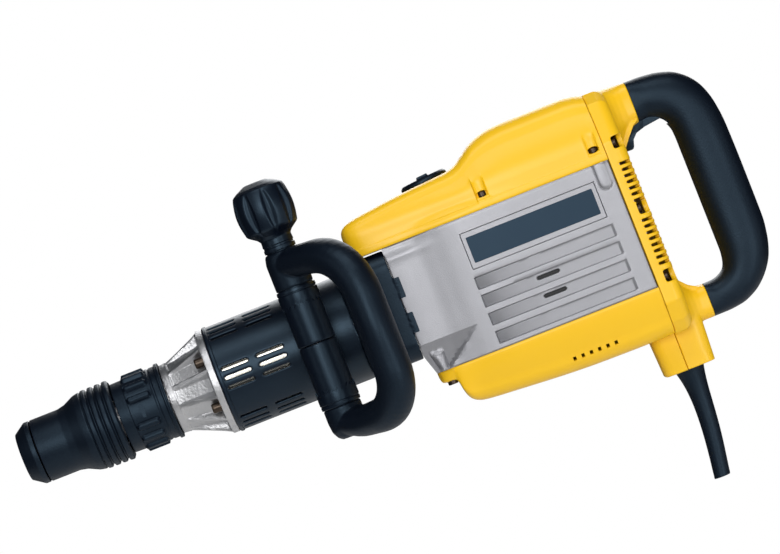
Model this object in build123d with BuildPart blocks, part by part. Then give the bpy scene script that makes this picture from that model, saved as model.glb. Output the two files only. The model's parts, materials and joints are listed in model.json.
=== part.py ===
from build123d import *
import math
import os

os.makedirs("parts", exist_ok=True)

# Demolition hammer. X runs along the tool axis from the nose to the rear handle, Z is up,
# and the origin is the centre of the tool bore's mouth. Millimetres.

# driving sizes
run_gap = 0.05
barrel_outer = 43.5
barrel_start = 169.4
barrel_end = 285.0
body_front = 326.5
body_rear = 518.0
cap_front = 518.6
cap_rear = 535.3
body_top = 50.0
body_bottom = -57.6
body_half = 54.0
front_half = 46.0
wall = 3.5
shank_bore = 9.1
cylinder_bore = 20.0
crank_throw = 14.0
rod_length = 80.0
crank_x = 383.75
idler_x = 417.5
motor_x = 455.0
slow_module = 1.25
gear_level = -68.0
drive_level = -80.0
bar_x = 253.0
bar_y = -60.0
loop_reach = 75.0
loop_turn = 50.0
loop_radius = 15.0
overall_length = 620.0
wrist_x = crank_x - crank_throw - rod_length
pin_x = crank_x - crank_throw

across = Plane.YZ
side = Plane.XZ


def save(piece, label):
    """Labels a finished piece and writes its STEP file."""
    piece.part.label = label
    export_step(piece.part, f"parts/{label}.step")


def tube(start, end, outer, inner):
    """A plain tube or, with inner 0, a rod along the tool axis."""
    with BuildPart() as ring:
        with BuildSketch(across.offset(start)):
            Circle(outer)
            if inner:
                Circle(inner, mode=Mode.SUBTRACT)
        extrude(amount=end - start)
    return ring


def upright(x, y, low, high, outer, inner=0):
    """A plain tube or rod parallel to Z."""
    with BuildPart() as ring:
        with BuildSketch(Plane.XY.offset(low)):
            with Locations((x, y)):
                Circle(outer)
                if inner:
                    Circle(inner, mode=Mode.SUBTRACT)
        extrude(amount=high - low)
    return ring


def gear(x, low, height, teeth, module, bore, turn):
    """A spur gear about a Z axis at x, with involute flanks and a little backlash."""
    pitch_r = teeth * module / 2
    base_r = pitch_r * math.cos(math.radians(20))
    tip_r = pitch_r + 0.92 * module
    root_r = pitch_r - 1.25 * module
    flank_start = max(base_r, root_r + 0.05)
    backlash = 0.12

    def flank(radius):
        angle = math.acos(min(1.0, base_r / radius))
        return math.tan(angle) - angle

    half_tooth = math.pi / (2 * teeth) - backlash / (2 * pitch_r) + flank(pitch_r)
    radii = [flank_start + (tip_r - flank_start) * step / 5 for step in range(6)]
    right = [(r, -(half_tooth - flank(r))) for r in radii]
    foot = (root_r - 0.4 * module, -half_tooth - 0.01)
    points = [foot] + right
    points += [(r, -a) for r, a in reversed(points)]
    outline = [(r * math.cos(a), r * math.sin(a)) for r, a in points]
    with BuildPart() as wheel:
        with BuildSketch(Plane.XY.offset(low)):
            with Locations((x, 0)):
                Circle(root_r)
            with Locations(Location((x, 0, 0), (0, 0, 1), turn)):
                with PolarLocations(0, teeth):
                    Polygon(*outline, align=None)
            with Locations((x, 0)):
                if bore:
                    Circle(bore, mode=Mode.SUBTRACT)
        extrude(amount=height)
    return wheel


cone_screw_turns = (60, 120, 240, 300)
louvre_levels = (-3.0, -17.8, -32.9, -48.3)
screw_shank = 2.2
cover_screw_spots = [(x, sign * 47.5) for x in (416, 510) for sign in (-1, 1)]
bottom_screw_spots = [(341, -37), (341, 37), (500, -44), (500, 44)]
rear_screw_spots = [(sign * 46, level) for level in (61, 5.6, -51.6) for sign in (-1, 1)]
dial_plane = Plane(origin=(378, 0, 88.6), x_dir=(1, 0, 0.08), z_dir=(-0.08, 0, 1))


def unit_out(turn):
    """The outward direction at a turn about the tool axis, counted from straight up towards +Y."""
    angle = math.radians(turn)
    return (0, math.sin(angle), math.cos(angle))


def around(radius, turn):
    """A point at a radius and turn, for sketches on planes across the tool axis."""
    out = unit_out(turn)
    return (radius * out[1], radius * out[2])


def radial_plane(turn):
    """The plane through the tool axis whose local Y points outward at a turn."""
    out = unit_out(turn)
    return Plane(origin=(0, 0, 0), x_dir=(1, 0, 0), z_dir=(0, -out[2], out[1]))


def outward_plane(x, turn):
    """The plane on the tool axis at x that faces outward at a turn."""
    return Plane(origin=(x, 0, 0), x_dir=(1, 0, 0), z_dir=unit_out(turn))


def body_outline(inset):
    """The motor housing's plan outline, drawn in by inset."""
    with BuildSketch() as outline:
        with BuildLine():
            Polyline((body_front + inset, -front_half + inset), (body_front + inset, front_half - inset),
                     (370, front_half - inset), (384, body_half - inset), (body_rear - inset, body_half - inset),
                     (body_rear - inset, -body_half + inset), (384, -body_half + inset),
                     (370, -front_half + inset), close=True)
        make_face()
        fillet(outline.vertices().group_by(Axis.X)[0], 4)
        fillet(outline.vertices().group_by(Axis.X)[-1], 8)
    return outline.sketch


# tool holder and chuck
holder_rear = 166.0
holder_outer = 16.0
lock_x = 58.0
guide_length = 48.0

with BuildPart() as tool_holder:
    with BuildSketch(Plane.XZ):
        with BuildLine():
            Polyline(
                (0, shank_bore),
                (0, 13),
                (6, 13),
                (16, holder_outer),
                (112, holder_outer),
                (112, 20),
                (124, 20),
                (124, 22),
                (160, 22),
                (160, 24.5),
                (holder_rear, 24.5),
                (holder_rear, 14.2),
                (98, 14.2),
                (92, shank_bore + 0.3),
                (guide_length, shank_bore + 0.3),
                (guide_length, shank_bore),
                close=True,
            )
        make_face()
    revolve(axis=Axis.X)
    with BuildSketch(Plane.XY.offset(-30)):
        with Locations((lock_x, 0)):
            Rectangle(14.4, 7.4)
    extrude(amount=60, mode=Mode.SUBTRACT)
save(tool_holder, "tool_holder")

bar_inner = 8.2
bar_outer = 17.6
for name, sign in (("locking_bar_upper", 1), ("locking_bar_lower", -1)):
    with BuildPart() as locking_bar:
        with BuildSketch(Plane.XY.offset(min(sign * bar_inner, sign * bar_outer))):
            with Locations((lock_x, 0)):
                RectangleRounded(14.2, 7.2, 2.5)
        extrude(amount=bar_outer - bar_inner)
    save(locking_bar, name)

with BuildPart() as nose_cap:
    with BuildSketch(Plane.XZ):
        with BuildLine():
            Polyline((0, 13), (0, 19.5), (9.7, 26), (13.6, 26), (13.6, 22), (9, holder_outer + 0.2),
                     (5.8, 13), close=True)
        make_face()
    revolve(axis=Axis.X)
save(nose_cap, "nose_cap")

with BuildPart() as locking_sleeve:
    with BuildSketch(Plane.XZ):
        with BuildLine():
            Polyline((14.6, 22.5), (14.6, 26), (38.6, 26), (46, 27.8), (54, 31.2), (60, 32.5), (84, 33.4),
                     (84, 30.4), (76, 30.4), (70, 24), (70, holder_outer + 0.3), (67, holder_outer + 0.3),
                     (66.6, 18.3), (49.2, 21.2), (20, 21.2), close=True)
        make_face()
    revolve(axis=Axis.X)
    with BuildSketch(Plane.XZ):
        with Locations(*[(62.1 + 6.2 * step, 33.9) for step in range(4)]):
            Circle(1.6)
    revolve(axis=Axis.X, mode=Mode.SUBTRACT)
save(locking_sleeve, "locking_sleeve")

with BuildPart() as sleeve_spring:
    with BuildLine() as spring_path:
        Helix(4.5, 16.0, 19.5, direction=(1, 0, 0), center=(71.5, 0, 0))
    with BuildSketch(Plane(origin=spring_path.line @ 0, z_dir=spring_path.line % 0)):
        Circle(0.9)
    sweep(is_frenet=True)
save(sleeve_spring, "sleeve_spring")

with BuildPart() as index_collar:
    with BuildSketch(Plane.XZ):
        with BuildLine():
            Polyline((84.8, 21.5), (84.8, 29.2), (94.4, 29.2), (94.4, 30), (123, 30), (123, 31.5), (126, 31.5),
                     (126, 22.8), (123.8, 22.8), (123.8, 20.1), (111.9, 20.1), (111.9, holder_outer + 0.1),
                     (96, holder_outer + 0.1), (96, 21.5), close=True)
        make_face()
    revolve(axis=Axis.X)
    for turn in range(12):
        with BuildSketch(outward_plane(104.5, 30 * turn).offset(28)):
            SlotOverall(19, 6.4)
        extrude(amount=4.5)
save(index_collar, "index_collar")

# front housing and barrel
with BuildPart() as front_housing:
    with BuildSketch(side):
        with BuildLine():
            Polyline((126.6, 20), (126.6, 29), (132, 29), (163.5, 37), (163.5, 43.5), (169.2, 43.5),
                     (169.2, 20), close=True)
        make_face()
    revolve(axis=Axis.X)
    for turn in range(0, 360, 20):
        with BuildSketch(radial_plane(turn)):
            Polygon((131, 26), (164, 34), (164, 43.2), (131, 29), align=None)
        extrude(amount=1.3, both=True)
    with BuildSketch(across.offset(126)):
        Circle(22 + run_gap)
    extrude(amount=34.3, mode=Mode.SUBTRACT)
    with BuildSketch(across.offset(160)):
        Circle(24.5 + run_gap)
    extrude(amount=10, mode=Mode.SUBTRACT)
    for turn in cone_screw_turns:
        with BuildSketch(across.offset(150)):
            with Locations(around(38, turn)):
                Circle(4.6)
        extrude(amount=13.5, mode=Mode.SUBTRACT)
        with BuildSketch(across.offset(150)):
            with Locations(around(38, turn)):
                Circle(2.6)
        extrude(amount=20, mode=Mode.SUBTRACT)
save(front_housing, "front_housing")

with BuildPart() as front_housing_screws:
    for turn in cone_screw_turns:
        with BuildSketch(across.offset(156)):
            with Locations(around(38, turn)):
                Circle(4.2)
                RegularPolygon(2.2, 6, mode=Mode.SUBTRACT)
        extrude(amount=7.4)
        with BuildSketch(across.offset(159)):
            with Locations(around(38, turn)):
                Circle(2.5)
        extrude(amount=26)
save(front_housing_screws, "front_housing_screws")

with BuildPart() as barrel_tube:
    with BuildSketch(across.offset(barrel_start)):
        Circle(40)
        Circle(11 + run_gap, mode=Mode.SUBTRACT)
    extrude(amount=4)
    with BuildSketch(across.offset(barrel_start + 4)):
        Circle(37)
        Circle(33, mode=Mode.SUBTRACT)
    extrude(amount=barrel_end - barrel_start - 8)
    with BuildSketch(across.offset(barrel_end - 4)):
        Circle(40)
        Circle(23.6, mode=Mode.SUBTRACT)
    extrude(amount=4)
    for turn in cone_screw_turns:
        with BuildSketch(across.offset(barrel_start + 2)):
            with Locations(around(38, turn)):
                Circle(4.4)
        extrude(amount=18)
    for turn in cone_screw_turns:
        with BuildSketch(across.offset(barrel_start)):
            with Locations(around(38, turn)):
                Circle(2.55)
        extrude(amount=17, mode=Mode.SUBTRACT)
save(barrel_tube, "barrel_tube")

with BuildPart() as barrel_sleeve:
    with BuildSketch(across.offset(barrel_start)):
        Circle(barrel_outer)
        Circle(40.2, mode=Mode.SUBTRACT)
    extrude(amount=barrel_end - barrel_start)
    for turn in cone_screw_turns:
        with BuildSketch(across.offset(barrel_start)):
            with Locations(around(38, turn)):
                Circle(4.7)
        extrude(amount=21, mode=Mode.SUBTRACT)
    for group in range(6):
        for row in (-1, 0, 1):
            for start in (185.5, 215.3):
                with BuildSketch(outward_plane(start, 30 + 60 * group + row * 10.5).offset(38.2)):
                    SlotOverall(23, 3)
                extrude(amount=8, mode=Mode.SUBTRACT)
save(barrel_sleeve, "barrel_sleeve")

with BuildPart() as gear_case:
    with BuildSketch(across.offset(barrel_end)):
        with Locations((0, 2.85)):
            RectangleRounded(92, 91.7, 15)
        Circle(23.6, mode=Mode.SUBTRACT)
    extrude(amount=body_front - barrel_end)
    fillet(gear_case.part.faces().sort_by(Axis.X)[0].outer_wire().edges(), 4)
    with BuildSketch(across.offset(barrel_end - 1)):
        Circle(34)
    extrude(amount=18, mode=Mode.SUBTRACT)
    with BuildSketch(across.offset(barrel_end - 1)):
        Circle(40.05)
    extrude(amount=1.2, mode=Mode.SUBTRACT)
    for sign in (-1, 1):
        for level in (16.5, -13):
            with BuildSketch(side.offset(-sign * front_half)):
                with Locations((body_front, level)):
                    Rectangle(10, 17)
            extrude(amount=1.6 * -sign)
save(gear_case, "gear_case")

# hammer mechanism
with BuildPart() as cylinder:
    with BuildSketch(across.offset(173.6)):
        Circle(24.8)
        Circle(cylinder_bore, mode=Mode.SUBTRACT)
    extrude(amount=8)
    with BuildSketch(across.offset(173.6)):
        Circle(23.4)
        Circle(cylinder_bore, mode=Mode.SUBTRACT)
    extrude(amount=158)
    for turn in range(0, 360, 90):
        with BuildSketch(outward_plane(252, turn).offset(18)):
            Circle(2)
        extrude(amount=8, mode=Mode.SUBTRACT)
save(cylinder, "cylinder")

with BuildPart() as impact_bolt:
    with BuildSketch(side):
        with BuildLine():
            Polyline((103, 0), (103, 8.6), (112, 8.9), (132, 14), (156, 14), (156, 11), (183, 11), (183, 0),
                     close=True)
        make_face()
    revolve(axis=Axis.X)
save(impact_bolt, "impact_bolt")

with BuildPart() as striker:
    with BuildSketch(across.offset(196)):
        Circle(cylinder_bore - run_gap)
    extrude(amount=44)
    with BuildSketch(across.offset(190)):
        Circle(10)
    extrude(amount=6)
    chamfer(striker.part.faces().sort_by(Axis.X)[-1].edges(), 1.5)
    with BuildSketch(across.offset(229)):
        Circle(cylinder_bore)
        Circle(18, mode=Mode.SUBTRACT)
    extrude(amount=3.2, mode=Mode.SUBTRACT)
save(striker, "striker")

save(tube(229.1, 232.1, cylinder_bore - 0.02, 18), "striker_ring")

with BuildPart() as piston:
    with BuildSketch(across.offset(wrist_x - 26)):
        Circle(cylinder_bore - run_gap)
    extrude(amount=38)
    with BuildSketch(across.offset(wrist_x - 14)):
        Circle(16)
    extrude(amount=40, mode=Mode.SUBTRACT)
    with BuildSketch(Plane.XY.offset(-30)):
        with Locations((wrist_x, 0)):
            Circle(5)
    extrude(amount=60, mode=Mode.SUBTRACT)
    with BuildSketch(across.offset(wrist_x - 22)):
        Circle(cylinder_bore)
        Circle(18, mode=Mode.SUBTRACT)
    extrude(amount=3.2, mode=Mode.SUBTRACT)
save(piston, "piston")

save(tube(wrist_x - 21.9, wrist_x - 18.9, cylinder_bore - 0.02, 18), "piston_ring")
save(upright(wrist_x, 0, -17.5, 17.5, 5 - 0.02), "wrist_pin")

with BuildPart() as conrod:
    with BuildSketch(Plane.XY.offset(-5)):
        with Locations((wrist_x, 0)):
            Circle(9)
        with Locations((pin_x, 0)):
            Circle(10)
        with Locations(((wrist_x + pin_x) / 2, 0)):
            Rectangle(rod_length, 11)
        with Locations((wrist_x, 0)):
            Circle(5 + run_gap, mode=Mode.SUBTRACT)
        with Locations((pin_x, 0)):
            Circle(5, mode=Mode.SUBTRACT)
    extrude(amount=10)
    with BuildSketch(Plane.XY.offset(3)):
        with Locations(((wrist_x + pin_x) / 2, 0)):
            SlotOverall(rod_length - 26, 6)
    extrude(amount=4, mode=Mode.SUBTRACT)
    with BuildSketch(Plane.XY.offset(-7)):
        with Locations(((wrist_x + pin_x) / 2, 0)):
            SlotOverall(rod_length - 26, 6)
    extrude(amount=4, mode=Mode.SUBTRACT)
save(conrod, "conrod")

save(upright(pin_x, 0, -7.4, 7, 5), "crank_pin")

with BuildPart() as crankshaft:
    with BuildSketch(Plane.XY.offset(-20)):
        with Locations((crank_x, 0)):
            Circle(21)
    extrude(amount=12)
    with BuildSketch(Plane.XY.offset(-9)):
        with Locations((pin_x, 0)):
            Circle(5.2)
    extrude(amount=2, mode=Mode.SUBTRACT)
    with BuildSketch(Plane.XY.offset(-10)):
        with Locations((crank_x + 26, 0)):
            Circle(14)
    extrude(amount=3, mode=Mode.SUBTRACT)
    with BuildSketch(Plane.XY.offset(gear_level)):
        with Locations((crank_x, 0)):
            Circle(8)
    extrude(amount=-20 - gear_level)
save(crankshaft, "crankshaft")

save(gear(crank_x, gear_level, 9, 36, slow_module, 8, 5), "crank_gear")

with BuildPart() as idler_gear:
    add(gear(idler_x, drive_level, 9, 50, slow_module, 5 + run_gap, 3.6).part)
    add(gear(idler_x, drive_level + 9, gear_level - drive_level, 18, slow_module, 5 + run_gap, 0).part)
save(idler_gear, "idler_gear")
save(upright(idler_x, 0, -84, -53.6, 5), "idler_shaft")

with BuildPart() as bearings:
    for level in (-51, -34.5):
        with BuildSketch(Plane.XY.offset(level)):
            with Locations((crank_x, 0)):
                Circle(15)
                Circle(8 + run_gap, mode=Mode.SUBTRACT)
        extrude(amount=8)
save(bearings, "crank_bearings")

case_rear = 411.2

with BuildPart() as crank_case:
    with BuildSketch(Plane.XY.offset(-52)):
        with Locations(((331.5 + case_rear) / 2, 0)):
            RectangleRounded(case_rear - 331.5, 82, 6)
    extrude(amount=80)
    with BuildSketch(Plane.XY.offset(-22)):
        with Locations(((335.5 + case_rear - 2.5) / 2, 0)):
            RectangleRounded(case_rear - 2.5 - 335.5, 74, 4)
    extrude(amount=60, mode=Mode.SUBTRACT)
    with BuildSketch(Plane.XY.offset(-60)):
        with Locations((crank_x, 0)):
            Circle(15)
    extrude(amount=60, mode=Mode.SUBTRACT)
    with BuildSketch(Plane.XY.offset(-47.5)):
        with Locations((351, 0), (351, 28), (351, -28), (404, 30), (404, -30)):
            Circle(8)
    extrude(amount=22, mode=Mode.SUBTRACT)
    with BuildSketch(across.offset(330)):
        Circle(23.4)
    extrude(amount=8, mode=Mode.SUBTRACT)
    with BuildSketch(Plane.XY.offset(-60)):
        with Locations(*bottom_screw_spots):
            Circle(screw_shank)
    extrude(amount=16, mode=Mode.SUBTRACT)
save(crank_case, "crank_case")

with BuildPart() as crank_case_lid:
    with BuildSketch(Plane.XY.offset(28)):
        with Locations(((331.5 + case_rear) / 2, 0)):
            RectangleRounded(case_rear - 331.5, 82, 6)
    extrude(amount=4)
    with BuildSketch(Plane.XY.offset(25)):
        with Locations(((335.5 + case_rear - 2.5) / 2, 0)):
            RectangleRounded(case_rear - 339.5, 72.6, 4)
    extrude(amount=3)
save(crank_case_lid, "crank_case_lid")

with BuildPart() as gear_plate:
    with BuildSketch(Plane.XY.offset(-57.4)):
        with Locations((423, 0)):
            RectangleRounded(138, 84, 12)
        with Locations((crank_x, 0)):
            Circle(17, mode=Mode.SUBTRACT)
        with Locations((idler_x, 0)):
            Circle(5, mode=Mode.SUBTRACT)
        with Locations((motor_x, 0)):
            Circle(11, mode=Mode.SUBTRACT)
        with Locations((476, 28), (476, -28)):
            Circle(6, mode=Mode.SUBTRACT)
    extrude(amount=5)
save(gear_plate, "gear_plate")

# motor
with BuildPart() as stator_core:
    with BuildSketch(Plane.XY.offset(-30)):
        with Locations((motor_x, 0)):
            Circle(43)
            Circle(27.6, mode=Mode.SUBTRACT)
        with Locations((motor_x, 44.5), (motor_x, -44.5)):
            Rectangle(90, 6, mode=Mode.SUBTRACT)
    extrude(amount=60)
save(stator_core, "stator_core")

with BuildPart() as field_coils:
    for level in (-40, 30.2):
        for start in (20, 200):
            with BuildSketch(Plane.XY.offset(level)):
                with Locations((motor_x, 0)):
                    Circle(39)
                    Circle(29.5, mode=Mode.SUBTRACT)
                with Locations((motor_x + 60 * math.cos(math.radians(start - 20)), 0)):
                    Rectangle(140, 120, mode=Mode.INTERSECT)
                with Locations((motor_x, 0)):
                    Rectangle(16, 120, mode=Mode.SUBTRACT)
            extrude(amount=9.8)
save(field_coils, "field_coils")

with BuildPart() as armature_shaft:
    with BuildSketch(Plane.XY.offset(drive_level + 9.2)):
        with Locations((motor_x, 0)):
            Circle(5)
    extrude(amount=84 - drive_level - 9.2)
    add(gear(motor_x, drive_level, 9.2, 10, slow_module, 0, 0).part)
save(armature_shaft, "armature_shaft")

with BuildPart() as armature_core:
    with BuildSketch(Plane.XY.offset(-30)):
        with Locations((motor_x, 0)):
            Circle(27)
            Circle(5, mode=Mode.SUBTRACT)
            with PolarLocations(24.5, 12):
                Circle(3, mode=Mode.SUBTRACT)
    extrude(amount=60)
save(armature_core, "armature_core")

with BuildPart() as armature_windings:
    with BuildSketch(Plane.XY.offset(30)):
        with Locations((motor_x, 0)):
            Circle(24)
            Circle(9, mode=Mode.SUBTRACT)
    extrude(amount=9)
    fillet(armature_windings.part.faces().sort_by(Axis.Z)[-1].outer_wire().edges(), 5)
    with BuildSketch(Plane.XY.offset(-38)):
        with Locations((motor_x, 0)):
            Circle(24)
            Circle(9, mode=Mode.SUBTRACT)
    extrude(amount=8)
    with BuildSketch(Plane.XY.offset(-31)):
        with Locations((motor_x, 0)):
            with PolarLocations(24.5, 12):
                Circle(2.8)
    extrude(amount=62)
    with BuildSketch(Plane.XY.offset(-40)):
        with Locations((motor_x, 0)):
            Circle(29)
            Circle(26.9, mode=Mode.SUBTRACT)
    extrude(amount=80, mode=Mode.SUBTRACT)
save(armature_windings, "armature_windings")

with BuildPart() as commutator:
    with BuildSketch(Plane.XY.offset(45)):
        with Locations((motor_x, 0)):
            Circle(13.5)
            Circle(5, mode=Mode.SUBTRACT)
            with PolarLocations(13.5, 24):
                Rectangle(1.6, 0.5, mode=Mode.SUBTRACT)
    extrude(amount=18)
save(commutator, "commutator")

with BuildPart() as cooling_fan:
    with BuildSketch(Plane.XY.offset(-51.4)):
        with Locations((motor_x, 0)):
            Circle(38)
            Circle(5, mode=Mode.SUBTRACT)
    extrude(amount=2)
    with BuildSketch(Plane.XY.offset(-49.4)):
        with Locations((motor_x, 0)):
            Circle(12)
            Circle(5, mode=Mode.SUBTRACT)
            with PolarLocations(24, 11):
                Rectangle(26, 1.6)
    extrude(amount=8)
save(cooling_fan, "cooling_fan")

with BuildPart() as motor_bearings:
    with BuildSketch(Plane.XY.offset(-57.4)):
        with Locations((motor_x, 0)):
            Circle(11)
            Circle(5 + run_gap, mode=Mode.SUBTRACT)
    extrude(amount=5)
    with BuildSketch(Plane.XY.offset(72)):
        with Locations((motor_x, 0)):
            Circle(11)
            Circle(5 + run_gap, mode=Mode.SUBTRACT)
    extrude(amount=8)
save(motor_bearings, "motor_bearings")

with BuildPart() as brush_bridge:
    with BuildSketch(Plane.XY.offset(65.5)):
        with Locations((motor_x, 0)):
            RectangleRounded(40, 86, 8)
            Circle(8, mode=Mode.SUBTRACT)
    extrude(amount=4)
    with BuildSketch(Plane.XY.offset(69.5)):
        with Locations((motor_x, 0)):
            Circle(14.5)
            Circle(8, mode=Mode.SUBTRACT)
    extrude(amount=14)
    with BuildSketch(Plane.XY.offset(72)):
        with Locations((motor_x, 0)):
            Circle(11)
    extrude(amount=20, mode=Mode.SUBTRACT)
    with BuildSketch(Plane.XY.offset(30.2)):
        with Locations((motor_x, 40.7), (motor_x, -40.7)):
            Rectangle(14, 2.4)
    extrude(amount=36)
    for sign in (-1, 1):
        with BuildSketch(Plane.XY.offset(49)):
            with Locations((motor_x, sign * 27)):
                Rectangle(12, 22)
        extrude(amount=16.5)
        with BuildSketch(side.offset(-sign * 10)):
            with Locations((motor_x, 56)):
                Rectangle(8.2, 10.2)
        extrude(amount=-sign * 26, mode=Mode.SUBTRACT)
save(brush_bridge, "brush_bridge")

with BuildPart() as carbon_brushes:
    for sign in (-1, 1):
        with BuildSketch(side.offset(-sign * 13.7)):
            with Locations((motor_x, 56)):
                Rectangle(8, 10)
        extrude(amount=-sign * 18)
save(carbon_brushes, "carbon_brushes")

# silver motor housing
with BuildPart() as motor_housing:
    with BuildSketch(Plane.XY.offset(body_bottom)):
        add(body_outline(0))
    extrude(amount=body_top - body_bottom)
    with BuildSketch(across.offset(body_front - 1)):
        with Locations((0, -8)):
            Rectangle(130, 150)
        with Locations((0, 3.5)):
            RectangleRounded(2 * front_half, 93, 15, mode=Mode.SUBTRACT)
    extrude(amount=6, mode=Mode.SUBTRACT)
    with BuildSketch(Plane.XY.offset(body_bottom)):
        with Locations((341, -41), (341, 41)):
            Circle(6.5)
    extrude(amount=15)
    with BuildSketch(Plane.XY.offset(body_bottom - 1)):
        add(body_outline(wall))
    extrude(amount=120, mode=Mode.SUBTRACT)
    with BuildSketch(Plane.XY.offset(29)):
        with Locations(*cover_screw_spots):
            Circle(6.2)
    extrude(amount=21)
    with BuildSketch(Plane.XY.offset(body_bottom)):
        with Locations(*bottom_screw_spots[2:]):
            Circle(7)
    extrude(amount=15)
    with BuildSketch(across.offset(508)):
        with Locations(*rear_screw_spots[2:]):
            Circle(5.9)
    extrude(amount=10)
    with BuildSketch(Plane.XY.offset(29)):
        with Locations(*cover_screw_spots):
            Circle(screw_shank)
    extrude(amount=40, mode=Mode.SUBTRACT)
    with BuildSketch(Plane.XY.offset(-60)):
        with Locations(*bottom_screw_spots):
            Circle(screw_shank)
    extrude(amount=16, mode=Mode.SUBTRACT)
    with BuildSketch(across.offset(512)):
        with Locations(*rear_screw_spots):
            Circle(screw_shank)
    extrude(amount=10, mode=Mode.SUBTRACT)
    with BuildSketch(across.offset(body_front - 1)):
        Circle(23.4)
    extrude(amount=8, mode=Mode.SUBTRACT)
    for sign in (-1, 1):
        with BuildSketch(side.offset(-sign * (body_half - 1.4))):
            with Locations((444.5, 23.2)):
                RectangleRounded(113.6, 30.2, 1.5)
        extrude(amount=-sign * 3, mode=Mode.SUBTRACT)
        for level in louvre_levels:
            with BuildSketch(side.offset(-sign * (body_half - 1.8))):
                with Locations((445, level)):
                    RectangleRounded(118, 10.5, 1)
            extrude(amount=-sign * 3, mode=Mode.SUBTRACT)
        for level in louvre_levels[1:3]:
            with BuildSketch(side.offset(-sign * (body_half - 6))):
                with Locations((441.5, level + 1.2)):
                    SlotOverall(19, 3)
            extrude(amount=-sign * 8, mode=Mode.SUBTRACT)
save(motor_housing, "motor_housing")

with BuildPart() as name_badges:
    for sign in (-1, 1):
        with BuildSketch(side.offset(-sign * (body_half - 1.4))):
            with Locations((444.5, 23.2)):
                RectangleRounded(112.8, 29.4, 1.2)
        extrude(amount=-sign * 1.2)
save(name_badges, "name_badges")

# yellow covers


def top_form(inset):
    """The top cover's solid form, drawn in by inset; the inner form runs down through the open bottom."""
    base = body_top + 0.2 - 3 * inset
    with BuildPart() as form:
        with BuildSketch(side):
            with BuildLine():
                Polyline((300.5 + inset, base), (300.5 + inset, 70), (304 + inset, 76.5 - inset),
                         (312, 79.5 - inset), (356, 84.5 - inset), (400, 88 - inset), (418 + inset, 101 - inset),
                         (430, 106.5 - inset), (444, 108.5 - inset), (506, 108.5 - inset), (518.3 - inset, 105 - inset),
                         (518.3 - inset, base), close=True)
            make_face()
        extrude(amount=60, both=True)
        with BuildSketch(Plane.XY.offset(base)):
            with BuildLine():
                Polyline((300.5 + inset, -36 + inset), (300.5 + inset, 36 - inset), (312, 44 - inset),
                         (372, 46 - inset), (384, 54 - inset), (518.3 - inset, 54 - inset),
                         (518.3 - inset, -54 + inset), (384, -54 + inset), (372, -46 + inset),
                         (312, -44 + inset), close=True)
            make_face()
        extrude(amount=70 + 3 * inset, mode=Mode.INTERSECT)
        with BuildSketch(across.offset(290)):
            with BuildLine():
                Polyline((54 - inset, base), (54 - inset, 62), (44 - inset, 96 - inset), (28, 108.5 - inset),
                         (-28, 108.5 - inset), (-44 + inset, 96 - inset), (-54 + inset, 62),
                         (-54 + inset, base), close=True)
            make_face()
        extrude(amount=240, mode=Mode.INTERSECT)
    return form


with BuildPart() as top_cover:
    add(top_form(0).part)
    add(top_form(3).part, mode=Mode.SUBTRACT)
    with BuildSketch(Plane.XY.offset(body_top + 0.2)):
        with Locations(*cover_screw_spots):
            Circle(7.5)
    extrude(amount=9.8)
    with BuildSketch(Plane.XY.offset(body_top)):
        add(body_outline(0))
        with Locations((320, 0)):
            Rectangle(40, 84)
    extrude(amount=70, mode=Mode.INTERSECT)
    with BuildSketch(Plane.XY.offset(60)):
        with Locations(*cover_screw_spots):
            Circle(4.6)
    extrude(amount=16, mode=Mode.SUBTRACT)
    with BuildSketch(Plane.XY.offset(body_top)):
        with Locations(*cover_screw_spots):
            Circle(2.3)
    extrude(amount=20, mode=Mode.SUBTRACT)
    with BuildSketch(across.offset(510)):
        with Locations(*rear_screw_spots[:2]):
            Circle(screw_shank)
    extrude(amount=10, mode=Mode.SUBTRACT)
    with BuildSketch(dial_plane.offset(-9)):
        Circle(22.5)
    extrude(amount=7.5)
    with BuildSketch(dial_plane.offset(-2)):
        Circle(20.4)
    extrude(amount=20, mode=Mode.SUBTRACT)
    with BuildSketch(dial_plane.offset(-12)):
        Circle(4.3)
    extrude(amount=14, mode=Mode.SUBTRACT)
save(top_cover, "top_cover")

with BuildPart() as speed_dial:
    with BuildSketch(dial_plane.offset(-1.7)):
        Circle(19.6)
    extrude(amount=4.2)
    chamfer(speed_dial.part.faces().sort_by(Axis.Z)[-1].edges(), 2)
    with BuildSketch(dial_plane.offset(-1.7)):
        Rectangle(9, 32)
    extrude(amount=6.2)
    with BuildSketch(dial_plane.offset(-9)):
        Circle(4.2)
    extrude(amount=8)
save(speed_dial, "speed_dial")

with BuildPart() as electronics_module:
    with BuildSketch(Plane.XY.offset(52)):
        with Locations((356, 0)):
            RectangleRounded(84, 66, 4)
    extrude(amount=15)
save(electronics_module, "electronics_module")


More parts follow.
